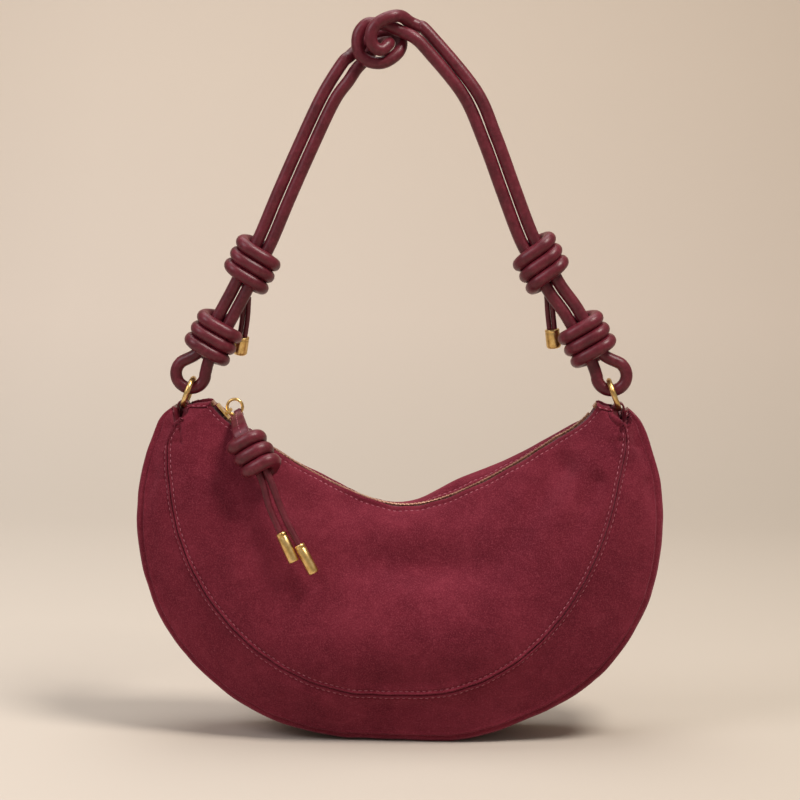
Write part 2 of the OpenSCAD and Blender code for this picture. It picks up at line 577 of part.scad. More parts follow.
module tail_cap(side) {
    line = tail_line(side);
    dir = unit(line[2] - line[1]);
    color(brass) translate(line[2] + seam_gap * dir) rotate(aim(dir)) cylinder(d = tail_cap_d, h = tail_cap_l, $fn = 40);
}

// Pull: wrapped knot, two thin cords and their caps
pull_knot_along = 27.4;
pull_knot_out = 30.8;
pull_knot_lean = 12;
pull_knot_dir_angle = -62;
pull_knot_at = pull_place(pull_knot_along, 0, pull_knot_out);
pull_knot_dir = [cos(pull_knot_dir_angle) * cos(pull_knot_lean), -sin(pull_knot_lean),
    sin(pull_knot_dir_angle) * cos(pull_knot_lean)];
pull_mid = 2.1;
pull_wrap_pitch = pull_wrap_d + 1.2 * wrap_gap;
pull_wrap_r = pull_wrap_d / 2 + pull_cord_d / 2 + 0.8 * wrap_gap;
pull_wrap = wrap_line(pull_mid, pull_wrap_r, pull_wrap_pitch, knot_turns, pull_wrap_d);
pull_across = unit(cross([0, 1, 0], pull_knot_dir));
pull_up = cross(pull_knot_dir, pull_across);
module pull_knot() {
    color(leather) tube([for (p = pull_wrap) pull_knot_at + p[0] * pull_across + p[1] * pull_up + p[2] * pull_knot_dir],
        pull_wrap_d, 6, pull_knot_dir);
}
// Routes of the two thin cords from inside the knot to their caps
pull_cord_half = pull_cord_d / 2 + seam_gap;
function pull_start(side, along) = pull_knot_at - side * pull_cord_half * pull_across + along * pull_knot_dir;
pull_in = -1.1;
pull_past = pull_wrap_pitch * knot_turns / 2 + pull_wrap_d / 2;
short_bends = [[9.6, -5.2, -29.5], [16.1, -7.2, -43.5]];
long_bends = [[18, -6.2, -34.1], [26.5, -8.2, -50.1]];
function pull_route(side, bends) = concat([pull_start(side, pull_in), pull_start(side, pull_past)],
    [for (b = bends) pull_knot_at + b]);
short_route = pull_route(-1, short_bends);
long_route = pull_route(1, long_bends);
module pull_cord(route) { color(leather) tube(smooth_line(route, 2), pull_cord_d, 8); }
module pull_cap(route) {
    dir = unit(route[3] - route[2]);
    color(brass) translate(route[3] + seam_gap * dir) rotate(aim(dir)) cylinder(d = pull_cap_d, h = pull_cap_l, $fn = 40);
}

front_panel();
front_band();
gusset();
back_band();
back_panel();
lining();
slip_pocket();
tape(-1);  // zip_tape_front
tape(1);  // zip_tape_back
teeth(-1);  // zip_teeth_front
teeth(1);  // zip_teeth_back
zip_stop(-1);  // zip_stop_left
zip_stop(1);  // zip_stop_right
end_cover(-1);  // zip_end_cover_left
end_cover(1);  // zip_end_cover_right
ring_tab(-1);  // ring_tab_left
ring_tab(1);  // ring_tab_right
strap_ring(-1);  // ring_left
strap_ring(1);  // ring_right
zip_slider();
pull_ring();
pull_tab();
pull_knot();
pull_cord(short_route);  // pull_cord_short
pull_cord(long_route);  // pull_cord_long
pull_cap(short_route);  // pull_cap_short
pull_cap(long_route);  // pull_cap_long
strap_cord_front();
strap_cord_back();
strap_loop(-1);  // strap_loop_left
strap_loop(1);  // strap_loop_right
strap_knot(left_route, 0);  // knot_left_lower
strap_knot(left_route, upper_i);  // knot_left_upper
strap_knot(right_route, 0);  // knot_right_lower
strap_knot(right_route, upper_i);  // knot_right_upper
tail(-1);  // tail_left
tail(1);  // tail_right
tail_cap(-1);  // tail_cap_left
tail_cap(1);  // tail_cap_right
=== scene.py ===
# %% [markdown]
# # A half moon suede bag, dressed piece by piece
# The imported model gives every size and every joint. This lesson gives each of its parts the shape and
# the finish of the real thing: napped suede walls, a metal zip, brass rings, and a strap and a zip pull
# made of rolled leather cord tied in wrapped knots. Lengths are written in millimetres and turned to
# metres by one value, MM.

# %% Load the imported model
import math

import bmesh
import bpy
from mathutils import Matrix, Vector, noise


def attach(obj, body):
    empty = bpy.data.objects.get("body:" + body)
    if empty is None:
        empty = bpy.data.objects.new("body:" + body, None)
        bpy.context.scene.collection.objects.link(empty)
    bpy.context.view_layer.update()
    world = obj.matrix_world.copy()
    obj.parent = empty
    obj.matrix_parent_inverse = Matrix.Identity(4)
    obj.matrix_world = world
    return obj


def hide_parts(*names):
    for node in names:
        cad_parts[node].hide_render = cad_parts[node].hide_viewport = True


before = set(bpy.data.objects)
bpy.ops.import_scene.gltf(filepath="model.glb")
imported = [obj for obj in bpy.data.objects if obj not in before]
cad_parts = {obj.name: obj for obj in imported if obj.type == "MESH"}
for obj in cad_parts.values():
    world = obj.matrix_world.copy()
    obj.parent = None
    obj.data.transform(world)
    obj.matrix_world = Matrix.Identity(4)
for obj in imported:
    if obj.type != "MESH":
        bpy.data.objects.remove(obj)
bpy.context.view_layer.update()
MM = 0.001

# %% [markdown]
# ## Camera
# The bag is seen from about its own middle height, a little from the right and a little from above. A
# long lens keeps it nearly flat. The camera is aimed at the middle of the view, and its lens is worked
# out from the width that the view takes in there.

# %% Camera
view_width = 459.8 * MM
view_distance = 1250 * MM
view_from_right = math.radians(3.2)
view_from_above = math.radians(6.0)
view_target = Vector((0, 0, 194.2 * MM))
camera_data = bpy.data.cameras.new("camera")
camera_data.sensor_width = 36
camera_data.lens = 36 * view_distance / view_width
camera_data.clip_start = 0.05
camera_data.clip_end = 30
camera = bpy.data.objects.new("camera", camera_data)
bpy.context.scene.collection.objects.link(camera)
toward = Vector((math.sin(view_from_right) * math.cos(view_from_above),
                 -math.cos(view_from_right) * math.cos(view_from_above), math.sin(view_from_above)))
camera.location = view_target + toward * view_distance
camera.rotation_euler = toward.to_track_quat("Z", "Y").to_euler()
bpy.context.scene.camera = camera
print("lens in mm:", round(camera_data.lens, 1))

# %% [markdown]
# ## Colour and node helpers
# Colours are read off finishes as sRGB hex values, while the renderer works in linear light, so one
# function turns one into the other. A second one adds a node with its values, settings and links, which
# keeps each material below as short as its recipe: a node that is linked stands for its first output.
# A third starts a material with the point of the object that is shaded, so that every pattern stays on
# its piece when the piece moves.

# %% Colour and node helpers
def colour(hex_value):
    parts = [int(hex_value[i:i + 2], 16) / 255 for i in (1, 3, 5)]
    return tuple(c / 12.92 if c <= 0.04045 else ((c + 0.055) / 1.055) ** 2.4 for c in parts) + (1.0,)


def add(tree, kind, links={}, values={}, stops=(), **settings):
    node = tree.nodes.new(kind)
    for name, value in settings.items():
        setattr(node, name, value)
    for socket, value in values.items():
        node.inputs[socket].default_value = value
    for socket, source in links.items():
        tree.links.new(getattr(source, "outputs", [source])[0], node.inputs[socket])
    for i, (place, tone) in enumerate(stops):
        element = node.color_ramp.elements[i] if i < 2 else node.color_ramp.elements.new(place)
        element.position = place
        element.color = colour(tone) if isinstance(tone, str) else (tone, tone, tone, 1)
    return node


def new_material(name):
    material = bpy.data.materials.new(name)
    material.use_nodes = True
    tree = material.node_tree
    tree.nodes.clear()
    return material, tree, add(tree, "ShaderNodeTexCoord").outputs["Object"]


print("pure white as linear light:", colour("#FFFFFF")[:3])

# %% [markdown]
# ## Suede
# Suede is the flesh side of a hide, sanded until its fibres stand up in a short nap. It has no gloss at
# all, it is lighter where the nap lies towards you, and the stroke of a hand leaves soft clouds in it. So
# the colour mixes clouds of about 40 mm, brushed streaks of 9 mm and fibres of under a millimetre, the
# roughness is full, and a sheen gives the pale bloom where the surface turns away.

# %% Suede
suede, tree, spot = new_material("split suede, dyed burgundy, brushed nap")
clouds = add(tree, "ShaderNodeTexNoise", {"Vector": spot}, {"Scale": 26.0, "Detail": 3.0, "Roughness": 0.55})
streaks = add(tree, "ShaderNodeTexNoise", {"Vector": spot},
              {"Scale": 115.0, "Detail": 5.0, "Roughness": 0.6, "Distortion": 0.6})
fibres = add(tree, "ShaderNodeTexNoise", {"Vector": spot}, {"Scale": 1300.0, "Detail": 5.0, "Roughness": 0.8})
cloud_tone = add(tree, "ShaderNodeValToRGB", {"Fac": clouds},
                 stops=((0.28, "#4A121E"), (0.76, "#8B3443"), (0.52, "#6B222F")))
streak_tone = add(tree, "ShaderNodeValToRGB", {"Fac": streaks},
                  stops=((0.30, "#551422"), (0.78, "#8B3645"), (0.55, "#6C2230")))
fibre_tone = add(tree, "ShaderNodeValToRGB", {"Fac": fibres},
                 stops=((0.36, "#420C18"), (0.68, "#A8525F"), (0.52, "#6C2230")))
soft = add(tree, "ShaderNodeMix", {6: cloud_tone, 7: streak_tone}, {0: 0.45},
           data_type="RGBA")
nap = add(tree, "ShaderNodeMix", {6: soft.outputs[2], 7: fibre_tone}, {0: 0.36}, data_type="RGBA")
fibre_bump = add(tree, "ShaderNodeBump", {"Height": fibres},
                 {"Strength": 0.55, "Distance": 0.6 * MM})
cloud_bump = add(tree, "ShaderNodeBump", {"Height": streaks, "Normal": fibre_bump},
                 {"Strength": 0.35, "Distance": 2 * MM})
surface = add(tree, "ShaderNodeBsdfPrincipled", {"Base Color": nap.outputs[2], "Normal": cloud_bump},
              {"Roughness": 1.0, "Specular IOR Level": 0.1, "Sheen Weight": 0.32, "Sheen Roughness": 0.45,
               "Sheen Tint": colour("#D98A9A")})
add(tree, "ShaderNodeOutputMaterial", {"Surface": surface})
print("suede nodes:", len(tree.nodes))

# %% [markdown]
# ## Smooth leather
# The cords, the pull and the corner tabs are full-grain leather with an aniline dye: a satin skin with
# fine pores of about 0.7 mm, soft wear marks where it was rolled and tied, and a faint waxy top coat.

# %% Smooth leather
leather, tree, spot = new_material("full-grain leather, aniline dyed, waxed")
pores = add(tree, "ShaderNodeTexVoronoi", {"Vector": spot}, {"Scale": 1400.0}, feature="DISTANCE_TO_EDGE")
worn = add(tree, "ShaderNodeTexNoise", {"Vector": spot}, {"Scale": 90.0, "Detail": 5.0, "Roughness": 0.62})
marks = add(tree, "ShaderNodeTexNoise", {"Vector": spot}, {"Scale": 420.0, "Detail": 4.0, "Roughness": 0.7})
tone = add(tree, "ShaderNodeValToRGB", {"Fac": worn},
           stops=((0.28, "#48101A"), (0.74, "#732232"), (0.5, "#5D1622")))
mark_tone = add(tree, "ShaderNodeValToRGB", {"Fac": marks},
                stops=((0.35, "#40121B"), (0.72, "#7C3744"), (0.52, "#5A1E29")))
skin_tone = add(tree, "ShaderNodeMix", {6: tone, 7: mark_tone}, {0: 0.35},
                data_type="RGBA")
gloss = add(tree, "ShaderNodeMapRange", {"Value": marks}, {"To Min": 0.30, "To Max": 0.45})
pore_bump = add(tree, "ShaderNodeBump", {"Height": pores.outputs["Distance"]},
                {"Strength": 0.12, "Distance": 0.3 * MM})
worn_bump = add(tree, "ShaderNodeBump", {"Height": marks, "Normal": pore_bump},
                {"Strength": 0.15, "Distance": MM})
surface = add(tree, "ShaderNodeBsdfPrincipled",
              {"Base Color": skin_tone.outputs[2], "Roughness": gloss, "Normal": worn_bump},
              {"Specular IOR Level": 0.3, "Coat Weight": 0.1, "Coat Roughness": 0.35})
add(tree, "ShaderNodeOutputMaterial", {"Surface": surface})
print("leather nodes:", len(tree.nodes))

# %% [markdown]
# ## Brass
# The rings, caps and slider are cast or turned brass with an antique finish: a warm metal whose polish
# is soft, with a thin brown bloom left in patches of about 4 mm. A metal has no colour of its own other
# than that of its reflections, so it stays fully metallic and only the tint and the roughness vary.

# %% Brass
brass, tree, spot = new_material("antique brass, soft polish")
bloom = add(tree, "ShaderNodeTexNoise", {"Vector": spot}, {"Scale": 260.0, "Detail": 4.0, "Roughness": 0.6})
rub = add(tree, "ShaderNodeTexNoise", {"Vector": spot}, {"Scale": 1800.0, "Detail": 2.0})
tone = add(tree, "ShaderNodeValToRGB", {"Fac": bloom},
           stops=((0.30, "#B48C50"), (0.72, "#EDD095"), (0.5, "#DBB774")))
dull = add(tree, "ShaderNodeMapRange", {"Value": bloom}, {"To Min": 0.36, "To Max": 0.27})
rub_bump = add(tree, "ShaderNodeBump", {"Height": rub}, {"Strength": 0.02, "Distance": 0.1 * MM})
surface = add(tree, "ShaderNodeBsdfPrincipled",
              {"Base Color": tone, "Roughness": dull, "Normal": rub_bump}, {"Metallic": 1.0})
add(tree, "ShaderNodeOutputMaterial", {"Surface": surface})
print("brass nodes:", len(tree.nodes))

# %% [markdown]
# ## Zip metal, tape, thread and lining
# The teeth are stamped from duller, paler brass. The tape is a close weave, the thread is a bonded
# polyester a little pinker than the suede, and the lining is plain cotton. Real cloth has threads of
# about 0.3 mm, which are drawn at 0.6 and 0.8 mm here, so that they show.

# %% Zip metal
zip_metal, tree, spot = new_material("stamped brass, tumbled dull")
tumble = add(tree, "ShaderNodeTexNoise", {"Vector": spot}, {"Scale": 600.0, "Detail": 3.0})
tone = add(tree, "ShaderNodeValToRGB", {"Fac": tumble},
           stops=((0.3, "#8C6250"), (0.7, "#D9AE97"), (0.5, "#B5856F")))
surface = add(tree, "ShaderNodeBsdfPrincipled", {"Base Color": tone}, {"Metallic": 1.0, "Roughness": 0.36})
add(tree, "ShaderNodeOutputMaterial", {"Surface": surface})
print("zip metal nodes:", len(tree.nodes))

# %% Woven cloth, one recipe for the tape and one for the lining
def woven(name, dark, light, thread_mm):
    material, tree, spot = new_material(name)
    wave = {"Scale": 6.283 / (thread_mm * MM) / 20, "Distortion": 0.6}
    across = add(tree, "ShaderNodeTexWave", {"Vector": spot}, wave, bands_direction="X")
    along = add(tree, "ShaderNodeTexWave", {"Vector": spot}, wave, bands_direction="Z")
    weave = add(tree, "ShaderNodeMath", {0: across.outputs["Fac"], 1: along.outputs["Fac"]},
                operation="MULTIPLY")
    tone = add(tree, "ShaderNodeValToRGB", {"Fac": weave}, stops=((0.05, dark), (0.8, light)))
    bump = add(tree, "ShaderNodeBump", {"Height": weave}, {"Strength": 0.5, "Distance": 0.2 * MM})
    surface = add(tree, "ShaderNodeBsdfPrincipled", {"Base Color": tone, "Normal": bump},
                  {"Roughness": 0.9, "Sheen Weight": 0.1})
    add(tree, "ShaderNodeOutputMaterial", {"Surface": surface})
    return material


zip_tape = woven("polyester zip tape, herringbone", "#3A0D1A", "#6B2234", 0.6)
lining_cloth = woven("cotton lining, plain weave", "#3B2426", "#5C3A3B", 0.8)
print("cloths:", zip_tape.name, "and", lining_cloth.name)

# %% Thread
thread, tree, spot = new_material("bonded polyester thread, rose")
twist = add(tree, "ShaderNodeTexNoise", {"Vector": spot}, {"Scale": 900.0, "Detail": 2.0})
tone = add(tree, "ShaderNodeValToRGB", {"Fac": twist}, stops=((0.3, "#8A3A4A"), (0.7, "#B56674")))
surface = add(tree, "ShaderNodeBsdfPrincipled", {"Base Color": tone}, {"Roughness": 0.55, "Sheen Weight": 0.2})
add(tree, "ShaderNodeOutputMaterial", {"Surface": surface})
print("materials:", len(bpy.data.materials))

# %% [markdown]
# ## From a bmesh or a line to a finished piece
# Every piece is made in a bmesh and then becomes an object that rides on one body of the model, and
# stands for the plain solids that it replaces. A sheet starts as a flat grid, whose points are then laid
# where they belong. A cord is drawn as a curve with a round section, because a curve keeps its section
# even along any route, and is then made a mesh.

# %% Piece helpers
FACES = ((-1, "front"), (1, "back"))
ENDS = ((-1, "left"), (1, "right"))
made = []


def new_object(name, mesh, material, smooth=True):
    thing = bpy.data.objects.new(name, mesh)
    bpy.context.scene.collection.objects.link(thing)
    mesh.materials.clear()
    mesh.materials.append(material)
    for face in mesh.polygons:
        face.use_smooth = smooth
    return thing


def settle(name, mesh, material, body, replaces=(), smooth=True):
    piece = new_object(name, mesh, material, smooth)
    made.append(name)
    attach(piece, body)
    if replaces:
        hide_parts(*replaces)
    return piece


def finish_piece(name, bm, material, body, replaces=(), smooth=True):
    mesh = bpy.data.meshes.new(name)
    bm.to_mesh(mesh)
    bm.free()
    return settle(name, mesh, material, body, replaces, smooth)


def refinish(nodes, material):
    for node in nodes:
        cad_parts[node].data.materials.clear()
        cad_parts[node].data.materials.append(material)
    print("kept solids in", material.name + ":", ", ".join(nodes))


refinish(("ring_left", "ring_right", "pull_ring", "zip_slider"), brass)
refinish(("zip_stop_left", "zip_stop_right"), zip_metal)

# %% Sheets
def laid_grid(columns, rows, point_at):
    bm = bmesh.new()
    bmesh.ops.create_grid(bm, x_segments=columns, y_segments=rows, size=0.5)
    for vert in bm.verts:
        vert.co = point_at(vert.co.x + 0.5, vert.co.y + 0.5) * MM
    return bm


def face_up(bm):
    bmesh.ops.recalc_face_normals(bm, faces=bm.faces)
    if sum(face.normal.z for face in bm.faces) < 0:
        bmesh.ops.reverse_faces(bm, faces=bm.faces)


def give_wall(piece, thick, offset=-1.0):
    wall = piece.modifiers.new("wall", "SOLIDIFY")
    wall.thickness = thick * MM
    wall.offset = offset


trial = laid_grid(4, 3, lambda s, t: Vector((s, t, 0)))
print("a sheet of 4 by 3 has", len(trial.faces), "faces")
trial.free()

# %% Lines and cords
def flowing(points, steps):
    line = []
    for i in range(len(points) - 1):
        a, b = points[max(0, i - 1)], points[i]
        c, d = points[i + 1], points[min(len(points) - 1, i + 2)]
        for k in range(steps):
            t = k / steps
            line.append(0.5 * (2 * b + (c - a) * t + (2 * a - 5 * b + 4 * c - d) * t * t
                               + (3 * b - a - 3 * c + d) * t ** 3))
    return line + [points[-1]]


def length_of(line):
    return sum((b - a).length for a, b in zip(line, line[1:]))


def cord_mesh(name, line, radius, swell=None, sides=8):
    curve = bpy.data.curves.new(name, "CURVE")
    curve.dimensions = "3D"
    curve.bevel_depth = radius
    curve.bevel_resolution = sides
    curve.use_fill_caps = True
    curve.twist_mode = "MINIMUM"
    spline = curve.splines.new("POLY")
    spline.points.add(len(line) - 1)
    for i, (point, p) in enumerate(zip(spline.points, line)):
        point.co = (p.x, p.y, p.z, 1)
        point.radius = swell(i / (len(line) - 1)) if swell else 1
    carrier = bpy.data.objects.new(name, curve)
    mesh = bpy.data.meshes.new_from_object(carrier)
    bpy.data.objects.remove(carrier)
    bpy.data.curves.remove(curve)
    return mesh


def leather_cord(name, line, radius, body="strap", swell=None, sides=8):
    mesh = cord_mesh(name + "_leather", line, radius, swell, sides)
    return settle(name + "_leather", mesh, leather, body, [name])


trial = flowing([Vector((0, 0, 0)), Vector((10, 0, 0)), Vector((10, 10, 0))], 8)
print("a line of two legs of 10 flows over", len(trial), "points and is", round(length_of(trial), 1), "long")

# %% [markdown]
# ## The two thin cords of the zip pull
# Two cords of 4 mm come out of the pull's knot, 48 and 58.5 mm long, and end in a brass cap. They are
# the only free cords on the bag: the strap keeps its shape, because its cords are rolled round a stiff
# core. Their route is the one that the model's solids follow.

# %% Pull cords
def place(x, y, z):
    return Vector((x, y, z)) * MM


pull_hang = math.radians(-58.6)   # how steeply the tab hangs over the front edge
pull_turn = math.radians(-62)     # how steeply the knot hangs
pull_lean = math.radians(12)      # how far the knot leans to the front


def pull_place(along, side, out):
    c, s = math.cos(pull_hang), math.sin(pull_hang)
    return place(-95.4518 + along * c - side * s, -out, 189.649 + along * s + side * c)


pull_knot_at = pull_place(27.4, 0, 30.8)
pull_way = Vector((math.cos(pull_turn) * math.cos(pull_lean), -math.sin(pull_lean),
                   math.sin(pull_turn) * math.cos(pull_lean)))
pull_across = Vector((0, 1, 0)).cross(pull_way).normalized()
pull_cord_d = 4 * MM
pull_cord_side = 2.2 * MM         # half of the distance between the two cords
pull_knot_half_length = (7.66 * 1.5 + 3.5) * MM


def pull_route(side, low, end):
    start = pull_knot_at - side * pull_cord_side * pull_across
    return flowing([start - 1.1 * MM * pull_way, start + pull_knot_half_length * pull_way,
                    pull_knot_at + low, pull_knot_at + end], 8)


short_line = pull_route(-1, place(9.6, -5.2, -29.5), place(16.1, -7.2, -43.5))
long_line = pull_route(1, place(18, -6.2, -34.1), place(26.5, -8.2, -50.1))


def turned(profile, at, way, name, body):
    bm = bmesh.new()
    ring = [bm.verts.new((r * MM, 0, h * MM)) for r, h in profile]
    edges = [bm.edges.new(pair) for pair in zip(ring, ring[1:])]
    bmesh.ops.spin(bm, geom=ring + edges, cent=(0, 0, 0), axis=(0, 0, 1), angle=math.tau, steps=40,
                   use_merge=True, use_normal_flip=False, use_duplicate=False)
    bmesh.ops.remove_doubles(bm, verts=bm.verts, dist=1e-6)
    upright = way.to_track_quat("Z", "Y").to_matrix().to_4x4()
    bmesh.ops.transform(bm, verts=bm.verts, matrix=Matrix.Translation(at) @ upright)
    bmesh.ops.recalc_face_normals(bm, faces=bm.faces)
    return finish_piece(name + "_brass", bm, brass, body, [name])


pull_cap_profile = [(0, -0.2), (2.2, -0.2), (2.75, -0.1), (3.0, 0.25), (3.08, 0.8), (3.08, 2.0),
                    (2.96, 2.2), (2.96, 2.5), (3.12, 2.8), (3.15, 9), (3.14, 15.6), (3.15, 16.9),
                    (3.0, 17.6), (2.6, 18.0), (0, 18.0)]
for name, line in (("short", short_line), ("long", long_line)):
    way = (line[-1] - line[-2]).normalized()
    cap = turned(pull_cap_profile, line[-1] + 0.2 * MM * way, way, "pull_cap_" + name, "pull")
    cord = leather_cord("pull_cord_" + name, line, pull_cord_d / 2, "pull", sides=6)
    print("pull cord", name, "in mm:", round(length_of(line) / MM, 1))

# %% [markdown]
# ## The shape of the bag
# The outline of the half moon is walked by u, from -1 at the left corner, round the base, to 1 at the
# right one. The skin is walked by w: from -3 at the front edge of the zip, over -1 and 1 at the two
# seams of the gusset, to 3 at the back edge. One function gives the point for both, so that panel,
# band, gusset, stitches and covers all meet. The top edges sag in a slack V, as thin suede does between
# its two hanging points, and the back rises in a soft hump behind the zip before it falls.

# %% Outline, in mm
half_width, height = 150, 190
widest = height * 0.658     # the height at which the bag is widest
roundness = 2 / 2.15        # 1 would be an ellipse, less is fuller


def outline(u):
    a, sign = abs(u), math.copysign(1, u)
    if a > 0.7:
        z = widest + (height - widest) * (a - 0.7) / 0.3
        rise = max(0, (z - widest) / (height - widest))
        return sign * (half_width - 15.4 * rise ** 2.5 - 3.6 * max(0, (rise - 0.86) / 0.14) ** 2), z
    turn = math.radians(90 * a / 0.7)
    rest = max(0, math.cos(turn)) ** roundness
    return sign * half_width * math.sin(turn) ** roundness, max(0, widest * (1 - rest) - 1.8 * rest)


def outward(u):
    (x0, z0), (x1, z1) = outline(max(-1.004, u - 0.002)), outline(min(1.004, u + 0.002))
    size = math.hypot(x1 - x0, z1 - z0)
    return (z1 - z0) / size, (x0 - x1) / size


print("top corner at x, z:", [round(c, 1) for c in outline(1)])

# %% Zip line, and the two top edges
zip_radius, zip_x, zip_z = 138.061, 2, 275.06   # the arc that the slider follows


def smooth(x):
    x = min(1, max(0, x))
    return x * x * (3 - 2 * x)


def through(points, x):
    i = max(0, min(len(points) - 2, sum(p[0] <= x for p in points) - 1))
    slope = [(points[min(len(points) - 1, k + 1)][1] - points[max(0, k - 1)][1])
             / (points[min(len(points) - 1, k + 1)][0] - points[max(0, k - 1)][0]) for k in (i, i + 1)]
    (x0, z0), (x1, z1) = points[i], points[i + 1]
    t = min(1, max(0, (x - x0) / (x1 - x0)))
    return (z0 * (1 + 2 * t) * (1 - t) ** 2 + z1 * t * t * (3 - 2 * t)
            + (x1 - x0) * (slope[0] * t * (1 - t) ** 2 + slope[1] * t * t * (t - 1)))


def zip_line(x):
    arc = zip_z - math.sqrt(max(0, zip_radius ** 2 - (x - zip_x) ** 2))
    slack = 131 + 56.9 * (math.sqrt(((x - 2.9) / 105.2) ** 2 + 0.0625) - 0.25) / 0.7808
    return arc + 0.65 * max(0, min(1, (106 - abs(x - zip_x)) / 18)) * (slack - arc)


back_edge_line = [(-122, 190.5), (-116.7, 193.1), (-109.2, 194.6), (-100.6, 191.4), (-89.1, 182.8),
                  (-78.5, 172.5), (-44.8, 151.9), (-14, 137.0), (2.9, 134.6), (18, 141), (34.5, 150),
                  (67.2, 166.1), (80.5, 173.6), (96, 181.5), (109.2, 188.4), (114, 191.2), (122, 190.0)]


def edge(side, u):
    a = abs(u)
    turn = math.radians(53.584 * max(-1, min(1, u / 0.86)))
    x = zip_x + (zip_radius - 0.5) * math.sin(turn)
    z = zip_line(x) + 0.1
    if side < 0:
        z += 0.6 * smooth((104 - abs(x)) / 20) + 1.1 * smooth((104 - abs(x)) / 40) * smooth(-x / 20)
    if a > 0.86:
        part = (a - 0.86) / 0.14
        x, z = (1 - part) * x + part * math.copysign(120.5, u), (1 - part) * z + part * 190.5
    return x, z


print("zip's lowest point:", round(zip_line(zip_x), 1),
      " back edge there:", round(through(back_edge_line, zip_x), 1))

# %% The skin
crown = 3.4           # how far the gusset's seam stands inside the outline
band_width = 26.5     # of the band, at the base
corner_x = 126.6      # middle of the notch in each top corner
notch_depth = {-1: 11, 1: 1.5}
hump = 0.1            # the part of the back that rises behind the zip
fullest = 0.585       # the part of the way down at which the walls are fullest
zip_half = 6.0        # half of the gap between the top edges
suede_thick = 1.6
edge_stitch = 3.2     # from the top edge to its row of stitches
seam_stitch = 2.3     # from the curved seam to the row on each side of it
base_share = band_width / (edge(-1, 0)[1] - outline(0)[1] - crown)


def full_half(u):
    return 40 * (1 - 0.72 * abs(u) ** 1.7)


def seam_half(u):
    return 26 * (1 - 0.65 * abs(u) ** 3)


def band_share(side, u):
    low = base_share + (0.12 if side * u > 0 else 0.26) * smooth(abs(u) / 0.8)
    return low + (0.5 - low) * smooth((abs(u) - 0.86) / 0.07)


def skin(u, w):
    x, z = outline(u)
    nx, nz = outward(u)
    rim = crown - 2.4 * smooth((abs(u) - 0.94) / 0.06)
    if abs(w) <= 1:
        drop = rim * max(0, (abs(w) - 0.8) / 0.2) ** 1.5
        return Vector((x - drop * nx, w * seam_half(u), z - drop * nz))
    side, v = math.copysign(1, w), (3 - abs(w)) / 2
    ex, ez = edge(side, u)
    x, z = (1 - v) * ex + v * (x - rim * nx), z - rim * nz
    if side < 0:
        z = (1 - v) * ez + v * z
    else:
        top = max(ez, through(back_edge_line, ex) - 1.2)
        t = max(0, (v - hump) / (1 - hump))
        t = 1.05 * t * t / (t + 0.05)
        z = ez + (top - ez) * math.sin(math.pi / 2 * v / hump) if v < hump else (1 - t) * top + t * z
    if v <= fullest:
        low, share = zip_half, math.sin(math.pi / 2 * v / fullest) ** 0.88
    else:
        low, share = seam_half(u), math.cos(math.pi / 2 * (v - fullest) / (1 - fullest))
    across = (abs(x) - corner_x) / (3.9 if abs(x) > corner_x else 6)
    z -= notch_depth[side] * (1 - min(1, abs(across)) ** 1.43) * smooth((abs(u) - 0.93) / 0.07)
    return Vector((x, side * (low + (full_half(u) - low) * share), z))


print("widest half depth:", full_half(0), " band's share of the front at the base:", round(base_share, 2))

# %% [markdown]
# ## Folds and soft hollows
# Sewn suede is never flat. It sags under the zip and bellies out below that, it has short puckers along
# each seam, and a few folds fan out from the corners, where the strap pulls. Each is a push along the
# skin's normal. A fold is given by its two ends (x, z), its depth and its half width.

# %% Push of the folds
corner_folds = [((-126, 180), (-124.6, 170), 1.9, 1.0), ((-125, 171.5), (-136, 169), 1.3, 1.5),
                ((-132, 180), (-137, 160), 0.9, 3.0), ((126, 180), (124.6, 171), 1.6, 1.0),
                ((125.3, 174), (137.5, 170), 1.5, 1.8), ((120, 172), (126, 150), 1.2, 3.2),
                ((134, 176), (141, 158), 1.0, 2.6), ((142, 150), (147, 131), 1.1, 3.4),
                ((-140, 152), (-146, 132), 0.9, 3.6), ((-118, 178), (-112, 160), 0.9, 3.0),
                ((30, 128), (74, 152), 1.0, 6.0), ((-66, 142), (-24, 118), 0.9, 6.0),
                ((92, 158), (56, 104), 4.6, 8.5), ((112, 150), (84, 96), 3.0, 6.0),
                ((-30, 136), (48, 138), 2.2, 7.0), ((-104, 160), (-74, 92), 2.4, 8.0)]


def near_line(p, a, b):
    (px, pz), (ax, az), (bx, bz) = p, a, b
    t = ((px - ax) * (bx - ax) + (pz - az) * (bz - az)) / ((bx - ax) ** 2 + (bz - az) ** 2)
    part = min(1, max(0, t))
    return math.hypot(px - ax - part * (bx - ax), pz - az - part * (bz - az)), part


